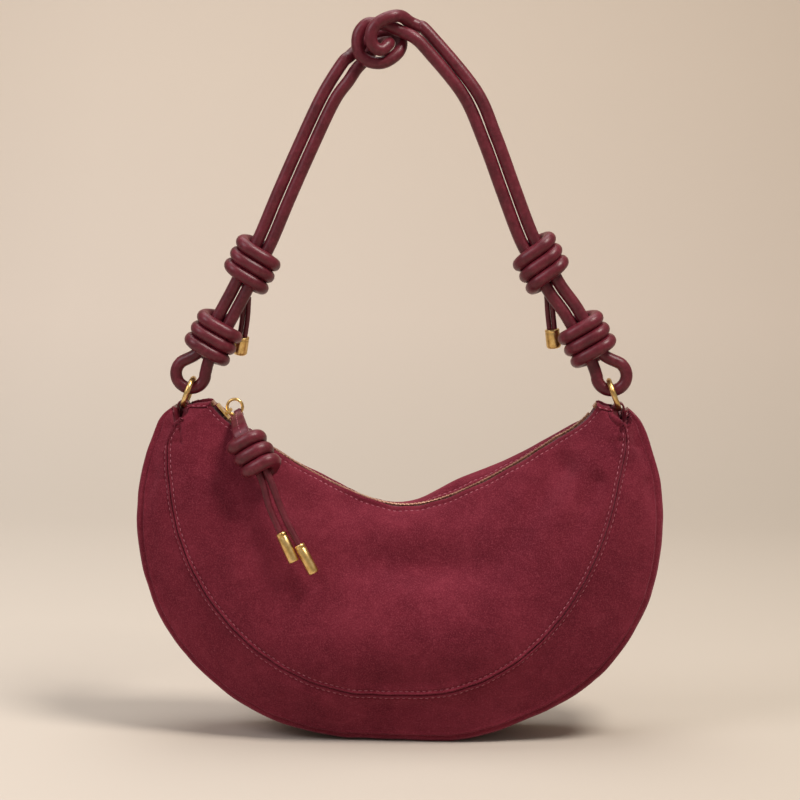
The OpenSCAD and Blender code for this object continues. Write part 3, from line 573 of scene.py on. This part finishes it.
def push(w, p, to_edge, to_seam, to_gusset, joined, along):
    broad = 2.3 * noise.noise(p / 52) + 0.5 * noise.noise(p / 19 + Vector((7, 3, 1)))
    inner = smooth(min(to_edge, to_seam) / 9) if abs(w) > 1 else 0.6
    d = broad * (0.25 + 0.75 * (inner + (0.6 - inner) * joined))
    if abs(w) > 1:
        for a, b, depth, wide in corner_folds:
            far, part = near_line((p.x, p.z), a, b)
            if far < 3 * wide:
                deep = depth * math.exp(-(far / wide) ** 2) * (1 - 0.75 * part)
                d -= (1 - joined) * deep * smooth(to_edge / 4)
        sag = (8.0 if w < 0 else 4.0) * math.exp(-((p.z - 104) / 12) ** 2 - ((p.x - 8) / 40) ** 2)
        belly = 3.2 * math.exp(-((p.z - 56) / 22) ** 2 - (p.x / 74) ** 2)
        d += (1 - joined) * smooth(to_edge / 12) * (belly - sag)
        d += 0.42 * math.exp(-(to_edge / 8) ** 2) * math.sin(along / 6.4 + 2.2 * noise.noise(p / 30))
        d += 0.26 * math.exp(-(to_seam / 5.5) ** 2) * math.sin(along / 3.6 + 2.6 * noise.noise(p / 22))
    d += 0.16 * math.exp(-(to_gusset / 5.5) ** 2) * math.sin(along / 3.6 + 2.6 * noise.noise(p / 22))
    return d


def edge_roll(s, radius=1.3):
    return -(radius - math.sqrt(max(0, radius ** 2 - (radius - s) ** 2))) if s < radius else 0


def stitched_dip(s, at, depth=0.38):
    return -depth * math.exp(-((s - at) / 0.55) ** 2)


print("corner and wall folds:", len(corner_folds))

# %% The finished point and its normal
walk_steps = 400
gusset_walk = [0]
for i in range(walk_steps):
    step = skin(-1 + 2 * (i + 1) / walk_steps, -1.0) - skin(-1 + 2 * i / walk_steps, -1.0)
    gusset_walk.append(gusset_walk[-1] + step.length)


def skin_normal(u, w):
    e = 0.012
    du = skin(min(1, u + e), w) - skin(max(-1, u - e), w)
    lowest, highest = (-1, 1) if abs(w) <= 1 else (-3, -1.0001) if w < 0 else (1.0001, 3)
    normal = (skin(u, min(highest, w + e)) - skin(u, max(lowest, w - e))).cross(du)
    return normal.normalized() if normal.length > 1e-9 else Vector((0, w, 0.1)).normalized()


def skin_place(u, w):
    p = skin(u, w)
    normal = skin_normal(u, w)
    turn = math.copysign(1, w)
    to_gusset = (p - skin(u, turn)).length if abs(w) > 1 else (1 - abs(w)) * seam_half(u)
    joined = math.exp(-(to_gusset / 1.6) ** 2)
    if joined > 0.01:
        shared = (skin_normal(u, turn) + skin_normal(u, 1.0002 * turn)).normalized()
        normal = normal.lerp(shared, joined).normalized()
    to_edge = to_seam = 99
    if abs(w) > 1:
        to_edge = (p - skin(u, 3 * turn)).length
        to_seam = (p - skin(u, turn * (1 + 2 * band_share(turn, u)))).length
    along = gusset_walk[max(0, min(walk_steps, round((u + 1) * walk_steps / 2)))]
    d = push(w, p, to_edge, to_seam, to_gusset, joined, along)
    if abs(w) > 1:
        d += edge_roll(to_edge) + stitched_dip(to_edge, edge_stitch) + stitched_dip(to_seam, seam_stitch, 0.45)
        d += 0.6 * math.exp(-((to_seam - 1.0) / 0.7) ** 2) - 0.7 * math.exp(-(to_seam / 0.5) ** 2)
    d += 0.3 * math.exp(-((to_gusset - 1.7) / 0.9) ** 2) - math.exp(-(to_gusset / 0.8) ** 2)
    finished = p + d * normal
    finished.z = max(finished.z, 0.05)
    return finished, normal


print("walk along the gusset's seam in mm:", round(gusset_walk[-1]))

# %% [markdown]
# ## Suede panels, bands and gusset
# The bag is five pieces of suede sewn edge to edge, so it is made as five sheets. Each starts as a flat
# grid that is laid on the skin, finer where it meets an edge or a seam, because the roll of an edge and
# the groove of a seam are only a millimetre or two wide. A Solidify modifier then gives the suede its
# 1.6 mm to the inside. This takes the place of a cloth simulation: the folds of this bag are known.

# %% Lay a grid on the skin
def crowded(t, share=0.8):
    return share * (0.5 - 0.5 * math.cos(math.pi * t)) + (1 - share) * t


def suede_sheet(name, columns, rows, w_at):
    def point_at(s, t):
        u = max(-1, min(1, 2 * s - 1))
        return skin_place(u, w_at(u, crowded(t)))[0]

    bm = laid_grid(columns, rows, point_at)
    bmesh.ops.remove_doubles(bm, verts=bm.verts, dist=2e-6)
    inside = Vector((0, 0, 95 * MM))
    faces_in = sum(1 for face in bm.faces if face.normal.dot(face.calc_center_median() - inside) < 0)
    if faces_in > len(bm.faces) / 2:
        bmesh.ops.reverse_faces(bm, faces=bm.faces)
    give_wall(finish_piece(name + "_suede", bm, suede, "bag", [name]), suede_thick)


for side, where in FACES:
    suede_sheet(where + "_panel", 260, 110, lambda u, t: side * (3 - 2 * t * (1 - band_share(side, u))))
    suede_sheet(where + "_band", 300, 46, lambda u, t: side * (1 + 2 * band_share(side, u) * (1 - t)))
suede_sheet("gusset", 280, 56, lambda u, t: -1 + 2 * t)
print("pieces so far:", ", ".join(made))

# %% [markdown]
# ## Stitches
# The curved seams are topstitched on both sides, and the top edges once, 3.2 mm from the fold. Each
# stitch is a short length of thread with rounded ends that sinks into the suede: a ball of only 20 faces,
# stretched, and turned to the line that it follows, more than 700 times.

# %% Stitch lines
def along_line(points, pitch):
    out, left = [], 0.0
    for a, b in zip(points, points[1:]):
        step = (b[0] - a[0]).length
        if step < 1e-9:
            continue
        while left <= step:
            t = left / step
            out.append((a[0].lerp(b[0], t), a[1].lerp(b[1], t).normalized(), (b[0] - a[0]).normalized()))
            left += pitch
        left -= step
    return out


def stitches(name, spots, body="bag", length=2.3):
    bm = bmesh.new()
    for at, normal, way in spots:
        turn = Matrix((way, normal.cross(way).normalized(), normal)).transposed().to_4x4()
        size = Matrix.Diagonal((length / 2, 0.31, 0.25, 1))
        bmesh.ops.create_icosphere(bm, subdivisions=1, radius=1, matrix=Matrix.Translation(at) @ turn @ size)
    bmesh.ops.scale(bm, vec=(MM, MM, MM), verts=bm.verts)
    print(name.replace("_", " ") + ":", len(spots))
    return finish_piece(name, bm, thread, body)


def mm_per_w(u, low, high):
    return (skin(u, high) - skin(u, low)).length / abs(high - low)


def stitched(u0, u1, steps, w_at, pitch=3.3):
    us = [u0 + (u1 - u0) * i / steps for i in range(steps + 1)]
    return along_line([skin_place(u, w_at(u)) for u in us], pitch)


def seam_row(side, offset, reach):
    def w_at(u):
        seam = 1 + 2 * band_share(side, u)
        return side * (seam + offset / mm_per_w(u, side * (seam - 0.02), side * (seam + 0.02)))

    return stitched(-reach, reach, 320, w_at)


def edge_w(side, u, inset):
    return side * (3 - inset / mm_per_w(u, side * 2.96, side * 3))


def edge_row(side, inset, u0, u1):
    return stitched(u0, u1, 240, lambda u: edge_w(side, u, inset))


for side, where in FACES:
    stitches(where + "_seam_stitches",
             seam_row(side, seam_stitch, 0.935) + seam_row(side, -seam_stitch, 0.925))
    stitches(where + "_edge_stitches", edge_row(side, edge_stitch, -0.86, 0.86))

# %% [markdown]
# ## Zip
# A metal zip is two cloth tapes, each with a bead along one edge that the teeth are clamped on. Closed,
# the teeth of one side stand in the gaps of the other. A tooth is a small stamped block with a rounded
# nose, so one is made from a cube with bevelled edges and laid along the line, 2.4 mm apart.

# %% Zip tapes and teeth
tooth_pitch, tooth_size = 1.2, (1.2, 3.0, 2.0)
teeth_from, teeth_to, tape_half_length = -101.5, 109, 109


def zip_at(x):
    way = Vector((0.8, 0, zip_line(x + 0.4) - zip_line(x - 0.4))).normalized()
    return Vector((x, 0, zip_line(x))), way, Vector((-way.z, 0, way.x))


def tape_sheet(side, where):
    def point_at(s, t):
        at, _, over = zip_at(zip_x + (2 * s - 1) * tape_half_length)
        return at + Vector((0, side * (0.55 + 5.2 * t), 0)) + over * (-0.3 - 1.2 * t * t)

    bm = laid_grid(200, 8, point_at)
    face_up(bm)
    name = "zip_tape_" + where
    give_wall(finish_piece(name + "_woven", bm, zip_tape, "bag", [name]), 0.6)


def tooth(bm, side, x):
    at, way, over = zip_at(x)
    cube = bmesh.ops.create_cube(bm, size=1)["verts"]
    edges = list({edge for vert in cube for edge in vert.link_edges})
    made = bmesh.ops.bevel(bm, geom=edges, offset=0.16, segments=1, profile=0.5, affect="EDGES", material=-1)
    turn = Matrix((way, Vector((0, 1, 0)), over)).transposed().to_4x4()
    move = Matrix.Translation(at + Vector((0, side * 0.75, 0))) @ turn @ Matrix.Diagonal((*tooth_size, 1))
    bmesh.ops.transform(bm, matrix=move, verts=list({vert for face in made["faces"] for vert in face.verts}))
    return way.x


def tooth_rows():
    rows, x, side = {-1: bmesh.new(), 1: bmesh.new()}, teeth_from, -1
    while x < teeth_to:
        x += tooth_pitch * tooth(rows[side], side, x)
        side = -side
    return rows


teeth = tooth_rows()
for side, where in FACES:
    tape_sheet(side, where)
    name = "zip_teeth_" + where
    bmesh.ops.scale(teeth[side], vec=(MM, MM, MM), verts=teeth[side].verts)
    bmesh.ops.recalc_face_normals(teeth[side], faces=teeth[side].faces)
    row = finish_piece(name + "_metal", teeth[side], zip_metal, "bag", [name], smooth=False)
    print(where, "teeth:", len(row.data.vertices) // 24)

# %% [markdown]
# ## The strap's two cords
# The strap is two leather cords of 7 mm, rolled round a stiff core, side by side from the rings up to
# one big knot. Each is one flowing line: up one side, through the knot, and down the other. In the knot
# one cord arches over the front and dives through the middle, and the other goes round it.

# %% Routes of the strap, in shares of its half width and of its rise
ring_x, ring_z, strap_rise = 122.4, 198, 202.6
cord_d, cord_side = 7, 3.75    # one cord, and half of the distance between the two
left_shares = [(-0.878, 0.156), (-0.800, 0.240), (-0.756, 0.289), (-0.692, 0.364), (-0.628, 0.438),
               (-0.545, 0.555), (-0.442, 0.693), (-0.335, 0.828)]
right_shares = [(0.872, 0.156), (0.797, 0.236), (0.723, 0.297), (0.655, 0.370), (0.587, 0.443),
                (0.502, 0.577), (0.415, 0.719), (0.320, 0.846)]
routes = {side: [Vector((s * ring_x, 0, ring_z + r * strap_rise)) for s, r in shares]
          for side, shares in ((-1, left_shares), (1, right_shares))}


def route_way(route, i):
    return (route[min(len(route) - 1, i + 1)] - route[max(0, i - 1)]).normalized()


def route_across(way):
    return Vector((way.z, 0, -way.x))


def beside(route, offset):
    return [p + offset * route_across(route_way(route, i)) for i, p in enumerate(route)]


knot_middle = Vector((-0.084 * ring_x, 0, ring_z + strap_rise))
front_knot = [(3.75, 0.25, 0.30), (3.00, 0.30, 0.80), (2.28, 0.20, 1.14), (1.65, -0.45, 1.56),
              (1.00, -1.05, 1.56), (0.10, -1.30, 1.22), (-0.55, -1.42, 0.66), (-0.79, -1.43, -0.06),
              (-0.59, -1.36, -0.81), (0.01, -1.14, -1.11), (0.51, -0.69, -0.69), (0.54, -0.07, -0.50),
              (0.14, 0.50, -0.46), (-0.57, 0.72, -0.72), (-1.29, 0.64, -1.71), (-2.07, 0.36, -2.54),
              (-2.68, 0, -3.50)]
back_knot = [(3.75, -0.25, -1.20), (2.65, -0.34, -0.12), (1.50, -0.16, 0.43), (0.43, -0.21, 0.89),
             (-0.43, -0.21, 1.03), (-1.21, -0.36, 0.97), (-1.80, -0.50, 0.29), (-1.93, -0.57, -0.61),
             (-1.69, -0.64, -1.51), (-0.99, -0.64, -2.01), (-0.09, -0.57, -2.13), (0.70, -0.43, -1.83),
             (1.41, 0, -1.14), (1.50, 0.64, -0.29), (0.71, 1.21, 0.43), (-0.57, 1.50, 0.21),
             (-1.88, 1.21, -0.77), (-2.66, 0.57, -1.54), (-3.25, 0.14, -2.14)]
for name, offset, knot in (("front", cord_side, front_knot), ("back", -cord_side, back_knot)):
    line = (beside(routes[-1], offset) + [knot_middle + cord_d * Vector(s) for s in reversed(knot)]
            + list(reversed(beside(routes[1], offset))))
    line = [p * MM for p in flowing(line, 8)]
    leather_cord("strap_cord_" + name, line, 3.55 * MM)
    print("strap cord", name, "in mm:", round(length_of(line) / MM))

# %% [markdown]
# ## Loops round the rings, and the four wrapped knots
# Below each lower knot a loop of the same cord hangs through the ring. The four knots are three turns of
# a cord of 7.5 mm each, pulled so tight that the turns touch. A turn is a flattened ring, since it goes
# round two cords, and most of its step to the next turn is made where it isn't seen, at the back. The
# ends are tucked in there.

# %% Loops and wrapped knots
def loop_route(side):
    route = routes[side]
    middle = Vector((side * 120.946, 0, 208.9))
    way = route_way(route, 0)
    across = route_across(way)
    knot_in, low_in = route[0] - 0.2 * way, route[0] - 11.8 * way
    ring = [middle + 8.5 * (-math.cos(a) * across - math.sin(a) * way)
            for a in (math.radians(-30 + 240 * i / 16) for i in range(17))]
    return [knot_in - cord_side * across, low_in - cord_side * across, *ring,
            low_in + cord_side * across, knot_in + cord_side * across]


def wrap(middle, way, across, outward_way, half, radius, pitch, turns, hand, even):
    line = []
    for i in range(turns * 40 + 1):
        t = i / 40
        a = math.radians(90 + 360 * t)
        x = hand * (half * max(-1, min(1, 3 * math.cos(a))) + radius * math.cos(a))
        rise = pitch * (t - turns / 2 + even * math.sin(math.tau * t) / math.tau)
        line.append(middle + x * across + radius * math.sin(a) * outward_way + rise * way)
    before = -2.1 * (line[1] - line[0]).normalized()
    after = 2.1 * (line[-1] - line[-2]).normalized()
    tuck = -1.4 * outward_way
    return ([line[0] + 2 * before + 2 * tuck, line[0] + before + 0.6 * tuck] + line
            + [line[-1] + after + 0.6 * tuck, line[-1] + 2 * after + 2 * tuck])


def tucked(t):
    return 1 - 0.35 * smooth(1 - min(t, 1 - t) / 0.012)


for side, where in ENDS:
    leather_cord("strap_loop_" + where, [p * MM for p in flowing(loop_route(side), 6)], cord_d / 2 * MM)
    for level, i, even in (("lower", 0, 0.9), ("upper", 3, 0.0 if side < 0 else -0.45)):
        way = route_way(routes[side], i)
        line = wrap(routes[side][i], way, route_across(way), Vector((0, 1, 0)), half=3.6, radius=7.45,
                    pitch=7.5, turns=3, hand=side, even=even)
        leather_cord("knot_%s_%s" % (where, level), [p * MM for p in line], 3.8 * MM, swell=tucked)
        print(where, level, "knot takes a cord of", round(length_of(line)), "mm")

# %% [markdown]
# ## Tails and their caps
# The ends of the wrapping leather come out under each upper knot, behind the cords, as a pair of thin
# cords that lie side by side, and a brass cap holds them together. The cap is turned on a lathe, so its
# outline is spun round its axis: a rolled rim at the mouth, a straight barrel and a rounded end.

# %% Tails and tail caps
tail_cap_profile = [(0, -0.1), (3.5, -0.1), (3.95, 0.0), (4.15, 0.25), (4.2, 0.7), (4.2, 1.15),
                    (4.02, 1.45), (4.02, 1.7), (4.16, 1.95), (4.2, 2.6), (4.2, 8.9), (4.1, 9.9),
                    (3.7, 10.6), (3.0, 10.95), (0, 11.0)]
tail_bends = {-1: [(-0.9, 0, -3.7), (-2.2, 4.4, -15.5), (-4.2, 6.9, -26.9)],
              1: [(0.9, 0, -3.7), (1.5, 0.8, -13), (2.6, 1.8, -23)]}
for side, where in ENDS:
    way = route_way(routes[side], 3)
    across = route_across(way)
    start = routes[side][3] - 15.225 * way - side * cord_side * across + Vector((0, 6.6, 0))
    line = flowing([start + Vector(b) for b in tail_bends[side]], 10)
    end_way = (line[-1] - line[-2]).normalized()
    pair = Vector((1, 0, 0)).cross(end_way).cross(end_way).normalized()
    bm = bmesh.new()
    for offset in (-1.5, 1.5):
        mesh = cord_mesh("strand", [(p + offset * pair) * MM for p in line], 1.5 * MM, sides=6)
        bm.from_mesh(mesh)
        bpy.data.meshes.remove(mesh)
    finish_piece("tail_" + where + "_leather", bm, leather, "strap", ["tail_" + where])
    turned(tail_cap_profile, (line[-1] + 0.2 * end_way) * MM, end_way, "tail_cap_" + where, "strap")
    print(where, "tail in mm:", round(length_of(line), 1))

# %% [markdown]
# ## Leather in the top corners
# At each top corner the suede ends in a notch, front and back. A leather gutter lies in it, narrower in
# the middle, and a strap of the same leather comes up from its floor and goes once round the O-ring.

# %% Gutter and ring tab
def thick_sheet(name, columns, rows, point_at, material, thick, replaces=(), offset=0.0):
    bm = laid_grid(columns, rows, point_at)
    face_up(bm)
    piece = finish_piece(name, bm, material, "bag", replaces)
    give_wall(piece, thick, offset)
    rim = piece.modifiers.new("rim", "BEVEL")
    rim.width, rim.segments, rim.limit_method = 0.3 * thick * MM, 2, "ANGLE"


def gutter_point(side, v, t):
    if v > 1:
        rim, _ = skin_place(side, 0.96 * (2 * t - 1))
        return gutter_point(side, 1, t).lerp(rim + Vector((0, 0, 0.2)), (v - 1) / 0.25)
    front, _ = skin_place(side, -(3 - 2 * v))
    back, _ = skin_place(side, 3 - 2 * v)
    p = front.lerp(back, t)
    inward = smooth(t / 0.22) * (1 - smooth((t - 0.8) / 0.2))
    p.x = side * (corner_x + (abs(p.x) - corner_x) * (0.95 - 0.45 * inward))
    p.z += 0.2 - 5.0 * smooth((t - 0.25) / 0.3) * smooth((0.9 - t) / 0.2) * (1 - abs(2 * v - 1))
    return p + Vector((0, (2 * t - 1) * 0.3, 0))


def ring_strap_line(side):
    eye, middle = Vector((side * 125.136, 0, 190.482)), Vector((side * corner_x, 0, 0))
    turns = [math.radians(225 - 270 * i / 18) for i in range(19)]
    return ([middle + Vector((-0.9, 0, 179)), middle + Vector((-1.0, 0, 184))]
            + [eye + 2.9 * Vector((math.cos(a), 0, math.sin(a))) for a in turns]
            + [middle + Vector((1.0, 0, 184)), middle + Vector((0.9, 0, 179))])


for side, where in ENDS:
    thick_sheet("corner_leather_" + where, 30, 20, lambda s, t: gutter_point(side, 1.25 * s, t), leather,
                1.2, ["ring_tab_" + where])
    line = ring_strap_line(side)
    thick_sheet("ring_strap_" + where, len(line) - 1, 4,
                lambda s, t: line[round(s * (len(line) - 1))] + Vector((0, 8 * t - 4, 0)), leather,
                1.1)
print("strap round each ring in mm:", round(length_of(line)))

# %% [markdown]
# ## Covers over the ends of the zip
# From the zip's end to the corner a strip of suede is folded over both top edges like a small roof and
# topstitched, front and back.

# %% End covers
cover_from, cover_length = 0.86, 0.132    # in u
fold_share = 0.62     # of the half width of the strip: beyond it the strip lies on the wall


def cover_point(side, a, t):
    if abs(t) > fold_share:
        face = math.copysign(1, t)
        down = 4.4 * (abs(t) - fold_share) / (1 - fold_share)
        p, normal = skin_place(side * a, edge_w(face, side * a, down))
        return p + (0.25 + 0.95 * smooth((5.1 - down) / 1.2)) * normal
    front, back = cover_point(side, a, -fold_share - 1e-4), cover_point(side, a, fold_share + 1e-4)
    s = (t / fold_share + 1) / 2
    lift = smooth((a - 0.858) / 0.02) * smooth((1.004 - a) / 0.05)
    p = front.lerp(back, (1 - math.cos(math.pi * s)) / 2)
    return p + Vector((0, 0, (0.4 + 0.5 * lift) * math.sin(math.pi * s)))


for side, where in ENDS:
    thick_sheet("end_cover_" + where + "_suede", 44, 16,
                lambda s, t: cover_point(side, cover_from + cover_length * t, 2 * s - 1), suede,
                1.2, ["zip_end_cover_" + where], offset=-1)
    span = (0.865, 0.985) if side > 0 else (-0.985, -0.865)
    rows = edge_row(-1, 3.3, *span) + edge_row(1, 3.3, *span)
    stitches("end_cover_" + where + "_stitches", [(p + 1.25 * normal, normal, way) for p, normal, way in rows])

# %% [markdown]
# ## Pull tab and pull knot
# A strip of leather, folded double and sewn down its middle, goes round the pull's brass ring, over the
# front edge of the bag, and into a knot of three turns. The two thin cords come out of that knot.

# %% Folded tab with its stitches
pull_side = (pull_place(0, 1, 0) - pull_place(0, 0, 0)).normalized()


def strip_up(line, i):
    return route_way(line, i).cross(pull_side).normalized()


def closed_strip(name, line, halves, thick, steps, replaces=()):
    def point_at(s, t):
        i, a = round(t * (len(line) - 1)), math.tau * s
        wide, high = (math.copysign(abs(share) ** power, share) for share, power in
                      ((math.cos(a), 0.3), (math.sin(a), 0.55)))
        return line[i] + halves[i] * wide * pull_side + thick / 2 * high * strip_up(line, i)

    bm = laid_grid(steps, len(line) - 1, point_at)
    bmesh.ops.remove_doubles(bm, verts=bm.verts, dist=1e-7)
    bmesh.ops.holes_fill(bm, edges=[edge for edge in bm.edges if edge.is_boundary], sides=0)
    bmesh.ops.recalc_face_normals(bm, faces=bm.faces)
    print(name + ":", len(bm.faces), "faces, open edges:", sum(edge.is_boundary for edge in bm.edges))
    return finish_piece(name, bm, leather, "pull", replaces)


tab_shape = [(4.2, 2.4, 2.0), (4.8, 5.5, 2.7), (5.1, 9, 3.3), (6.2, 13.5, 3.9), (8.2, 18, 4.3),
             (11.2, 24.8, 4.8), (15.5, 28.2, 5.0), (26, 30.8, 5.0)]    # along, out, half width
flow = flowing([Vector(p) for p in tab_shape], 8)
tab_line = [pull_place(p.x, 0, p.y) / MM for p in flow]
closed_strip("pull_tab_leather", tab_line, [p.z for p in flow], 2.5, 20, ["pull_tab"])
turns = [math.radians(150 - 350 * i / 32) for i in range(33)]
fold = [pull_place(4.2 + 1.95 * math.cos(a), 0, 1.95 * math.sin(a)) / MM for a in turns]
closed_strip("pull_tab_fold", fold, [2.0] * len(fold), 1.0, 16)
ups = [strip_up(tab_line, i) for i in range(len(tab_line))]
ups = [-up if up.z < 0 else up for up in ups]
top_line = [(p + 1.28 * up, up) for p, up in zip(tab_line, ups)]
stitches("pull_tab_stitches", along_line(top_line[6:], 2.9), "pull", length=2.0)
print("pull tab in mm:", round(length_of(tab_line)))

# %% Pull knot
knot_way = (Matrix.Rotation(math.radians(-5), 3, "Y") @ pull_way).normalized()
knot_across = Vector((0, 1, 0)).cross(knot_way).normalized()
knot_back = knot_way.cross(knot_across).normalized()
line = wrap(pull_knot_at / MM, knot_way, knot_across, knot_back, half=1.9, radius=6.1, pitch=7.9,
            turns=3, hand=-1, even=0.5)
leather_cord("pull_knot", [p * MM for p in line], 4.0 * MM, "pull", tucked)
print("pull knot takes a cord of", round(length_of(line)), "mm")

# %% [markdown]
# ## Inside of the bag
# The lining hangs a few millimetres inside the suede, and the slip pocket is a flat pouch on its back
# wall. Both are only seen through the zip's gap.

# %% Lining and slip pocket
def inside_place(u, w, depth):
    p, normal = skin_place(u, w)
    return p - depth * normal


def lining_point(s, t):
    u = 0.93 * (2 * t - 1)
    return inside_place(u, 2.88 * (2 * s - 1), 4.2 + 0.5 * math.sin(u * 31) * math.cos(8 * s))


def pocket_point(s, t):
    return inside_place(0.4 * (2 * t - 1), 1.45 + 0.85 * s, 5.9 + 0.8 * math.sin(math.pi * t))


thick_sheet("lining_cloth", 72, 90, lining_point, lining_cloth, 0.5, ["lining"])
thick_sheet("slip_pocket_cloth", 16, 24, pocket_point, lining_cloth, 0.6, ["slip_pocket"])
print("pieces made:", len(made))

# %% [markdown]
# ## Floor, backdrop and lights
# The bag stands on a pale floor that curves up into a backdrop of the same warm paper, so no line shows
# behind it. Its colour has painted shade in it: darker on the floor than up the backdrop, and darker
# towards the right. A wide soft lamp from the upper right gives the shape, a weak one from the left opens the
# shadows, and the world adds an even level. Past the edge of the backdrop the camera sees the world in
# the colour of the paper, by the Light Path node, which leaves its light on the bag as it is.

# %% Floor and backdrop
paper, tree, spot = new_material("matt card, warm sand, with painted shade")
height_at = add(tree, "ShaderNodeSeparateXYZ", {"Vector": spot})
# Painted shade: the paper's colour is darker on the floor and lighter up the backdrop
level = add(tree, "ShaderNodeMapRange", {"Value": height_at.outputs["Z"]},
            {"From Min": 0.0, "From Max": 0.45})
grain = add(tree, "ShaderNodeTexNoise", {"Vector": spot}, {"Scale": 900.0, "Detail": 2.0})
tone = add(tree, "ShaderNodeValToRGB", {"Fac": level},
           stops=((0.0, "#C9C0B5"), (0.35, "#D6CABE"), (1.0, "#DBCEC0")))
# Painted shade: the paper's colour is multiplied darker towards the right
side_shade_level = add(tree, "ShaderNodeMapRange", {"Value": height_at.outputs["X"]},
               {"From Min": -0.45, "From Max": 0.55})
painted_side_shade = add(tree, "ShaderNodeValToRGB", {"Fac": side_shade_level}, stops=((0.0, "#FFFFFF"), (1.0, "#E2DFDB")))
paper_with_painted_shade = add(tree, "ShaderNodeMix", {6: tone, 7: painted_side_shade}, {0: 1.0}, data_type="RGBA", blend_type="MULTIPLY")
bump = add(tree, "ShaderNodeBump", {"Height": grain}, {"Strength": 0.05, "Distance": 0.5 * MM})
surface = add(tree, "ShaderNodeBsdfPrincipled", {"Base Color": paper_with_painted_shade.outputs[2], "Normal": bump},
              {"Roughness": 1.0, "Specular IOR Level": 0.0})
add(tree, "ShaderNodeOutputMaterial", {"Surface": surface})

bm = bmesh.new()
profile = [(-2.5, 0), (0.75, 0)] + [(0.75 + 0.8 * math.sin(a), 0.8 - 0.8 * math.cos(a))
                                   for a in (math.radians(6 * i) for i in range(1, 16))] + [(1.55, 3.2)]
edge_verts = [bm.verts.new((-3, y, z)) for y, z in profile]
edges = [bm.edges.new(pair) for pair in zip(edge_verts, edge_verts[1:])]
swept = bmesh.ops.extrude_edge_only(bm, edges=edges)
bmesh.ops.translate(bm, vec=(6, 0, 0), verts=[g for g in swept["geom"] if isinstance(g, bmesh.types.BMVert)])
face_up(bm)
mesh = bpy.data.meshes.new("backdrop")
bm.to_mesh(mesh)
bm.free()
new_object("backdrop", mesh, paper)
print("backdrop strips:", len(mesh.polygons))

# %% Lights
def lamp(name, at, aim_height, width, power, tint):
    data = bpy.data.lights.new(name, "AREA")
    data.shape = "DISK"
    data.size = width
    data.energy = power
    data.color = colour(tint)[:3]
    light = bpy.data.objects.new(name, data)
    bpy.context.scene.collection.objects.link(light)
    light.location = at
    light.rotation_euler = (Vector(at) - Vector((0, 0, aim_height))).to_track_quat("Z", "Y").to_euler()


lamp("key", (0.75, -0.6, 1.75), 0.15, 0.6, 30, "#FFF8F0")
lamp("fill", (-1.1, -0.9, 1.3), 0.15, 0.9, 11, "#FBF8FF")
lamp("top", (-0.1, 0.3, 1.6), 0.2, 1.2, 11, "#FFFFFF")
world = bpy.data.worlds.new("studio")
world.use_nodes = True
tree = world.node_tree
tree.nodes.clear()
even = add(tree, "ShaderNodeBackground", {}, {"Color": colour("#FFF8F0"), "Strength": 0.36})
seen = add(tree, "ShaderNodeBackground", {}, {"Color": colour("#DCCBB9"), "Strength": 1.0})
path = add(tree, "ShaderNodeLightPath")
either = add(tree, "ShaderNodeMixShader", {0: path.outputs["Is Camera Ray"], 1: even, 2: seen})
add(tree, "ShaderNodeOutputWorld", {"Surface": either})
bpy.context.scene.world = world
bpy.context.scene.view_settings.view_transform = "Standard"
print("lamps:", len(bpy.data.lights))
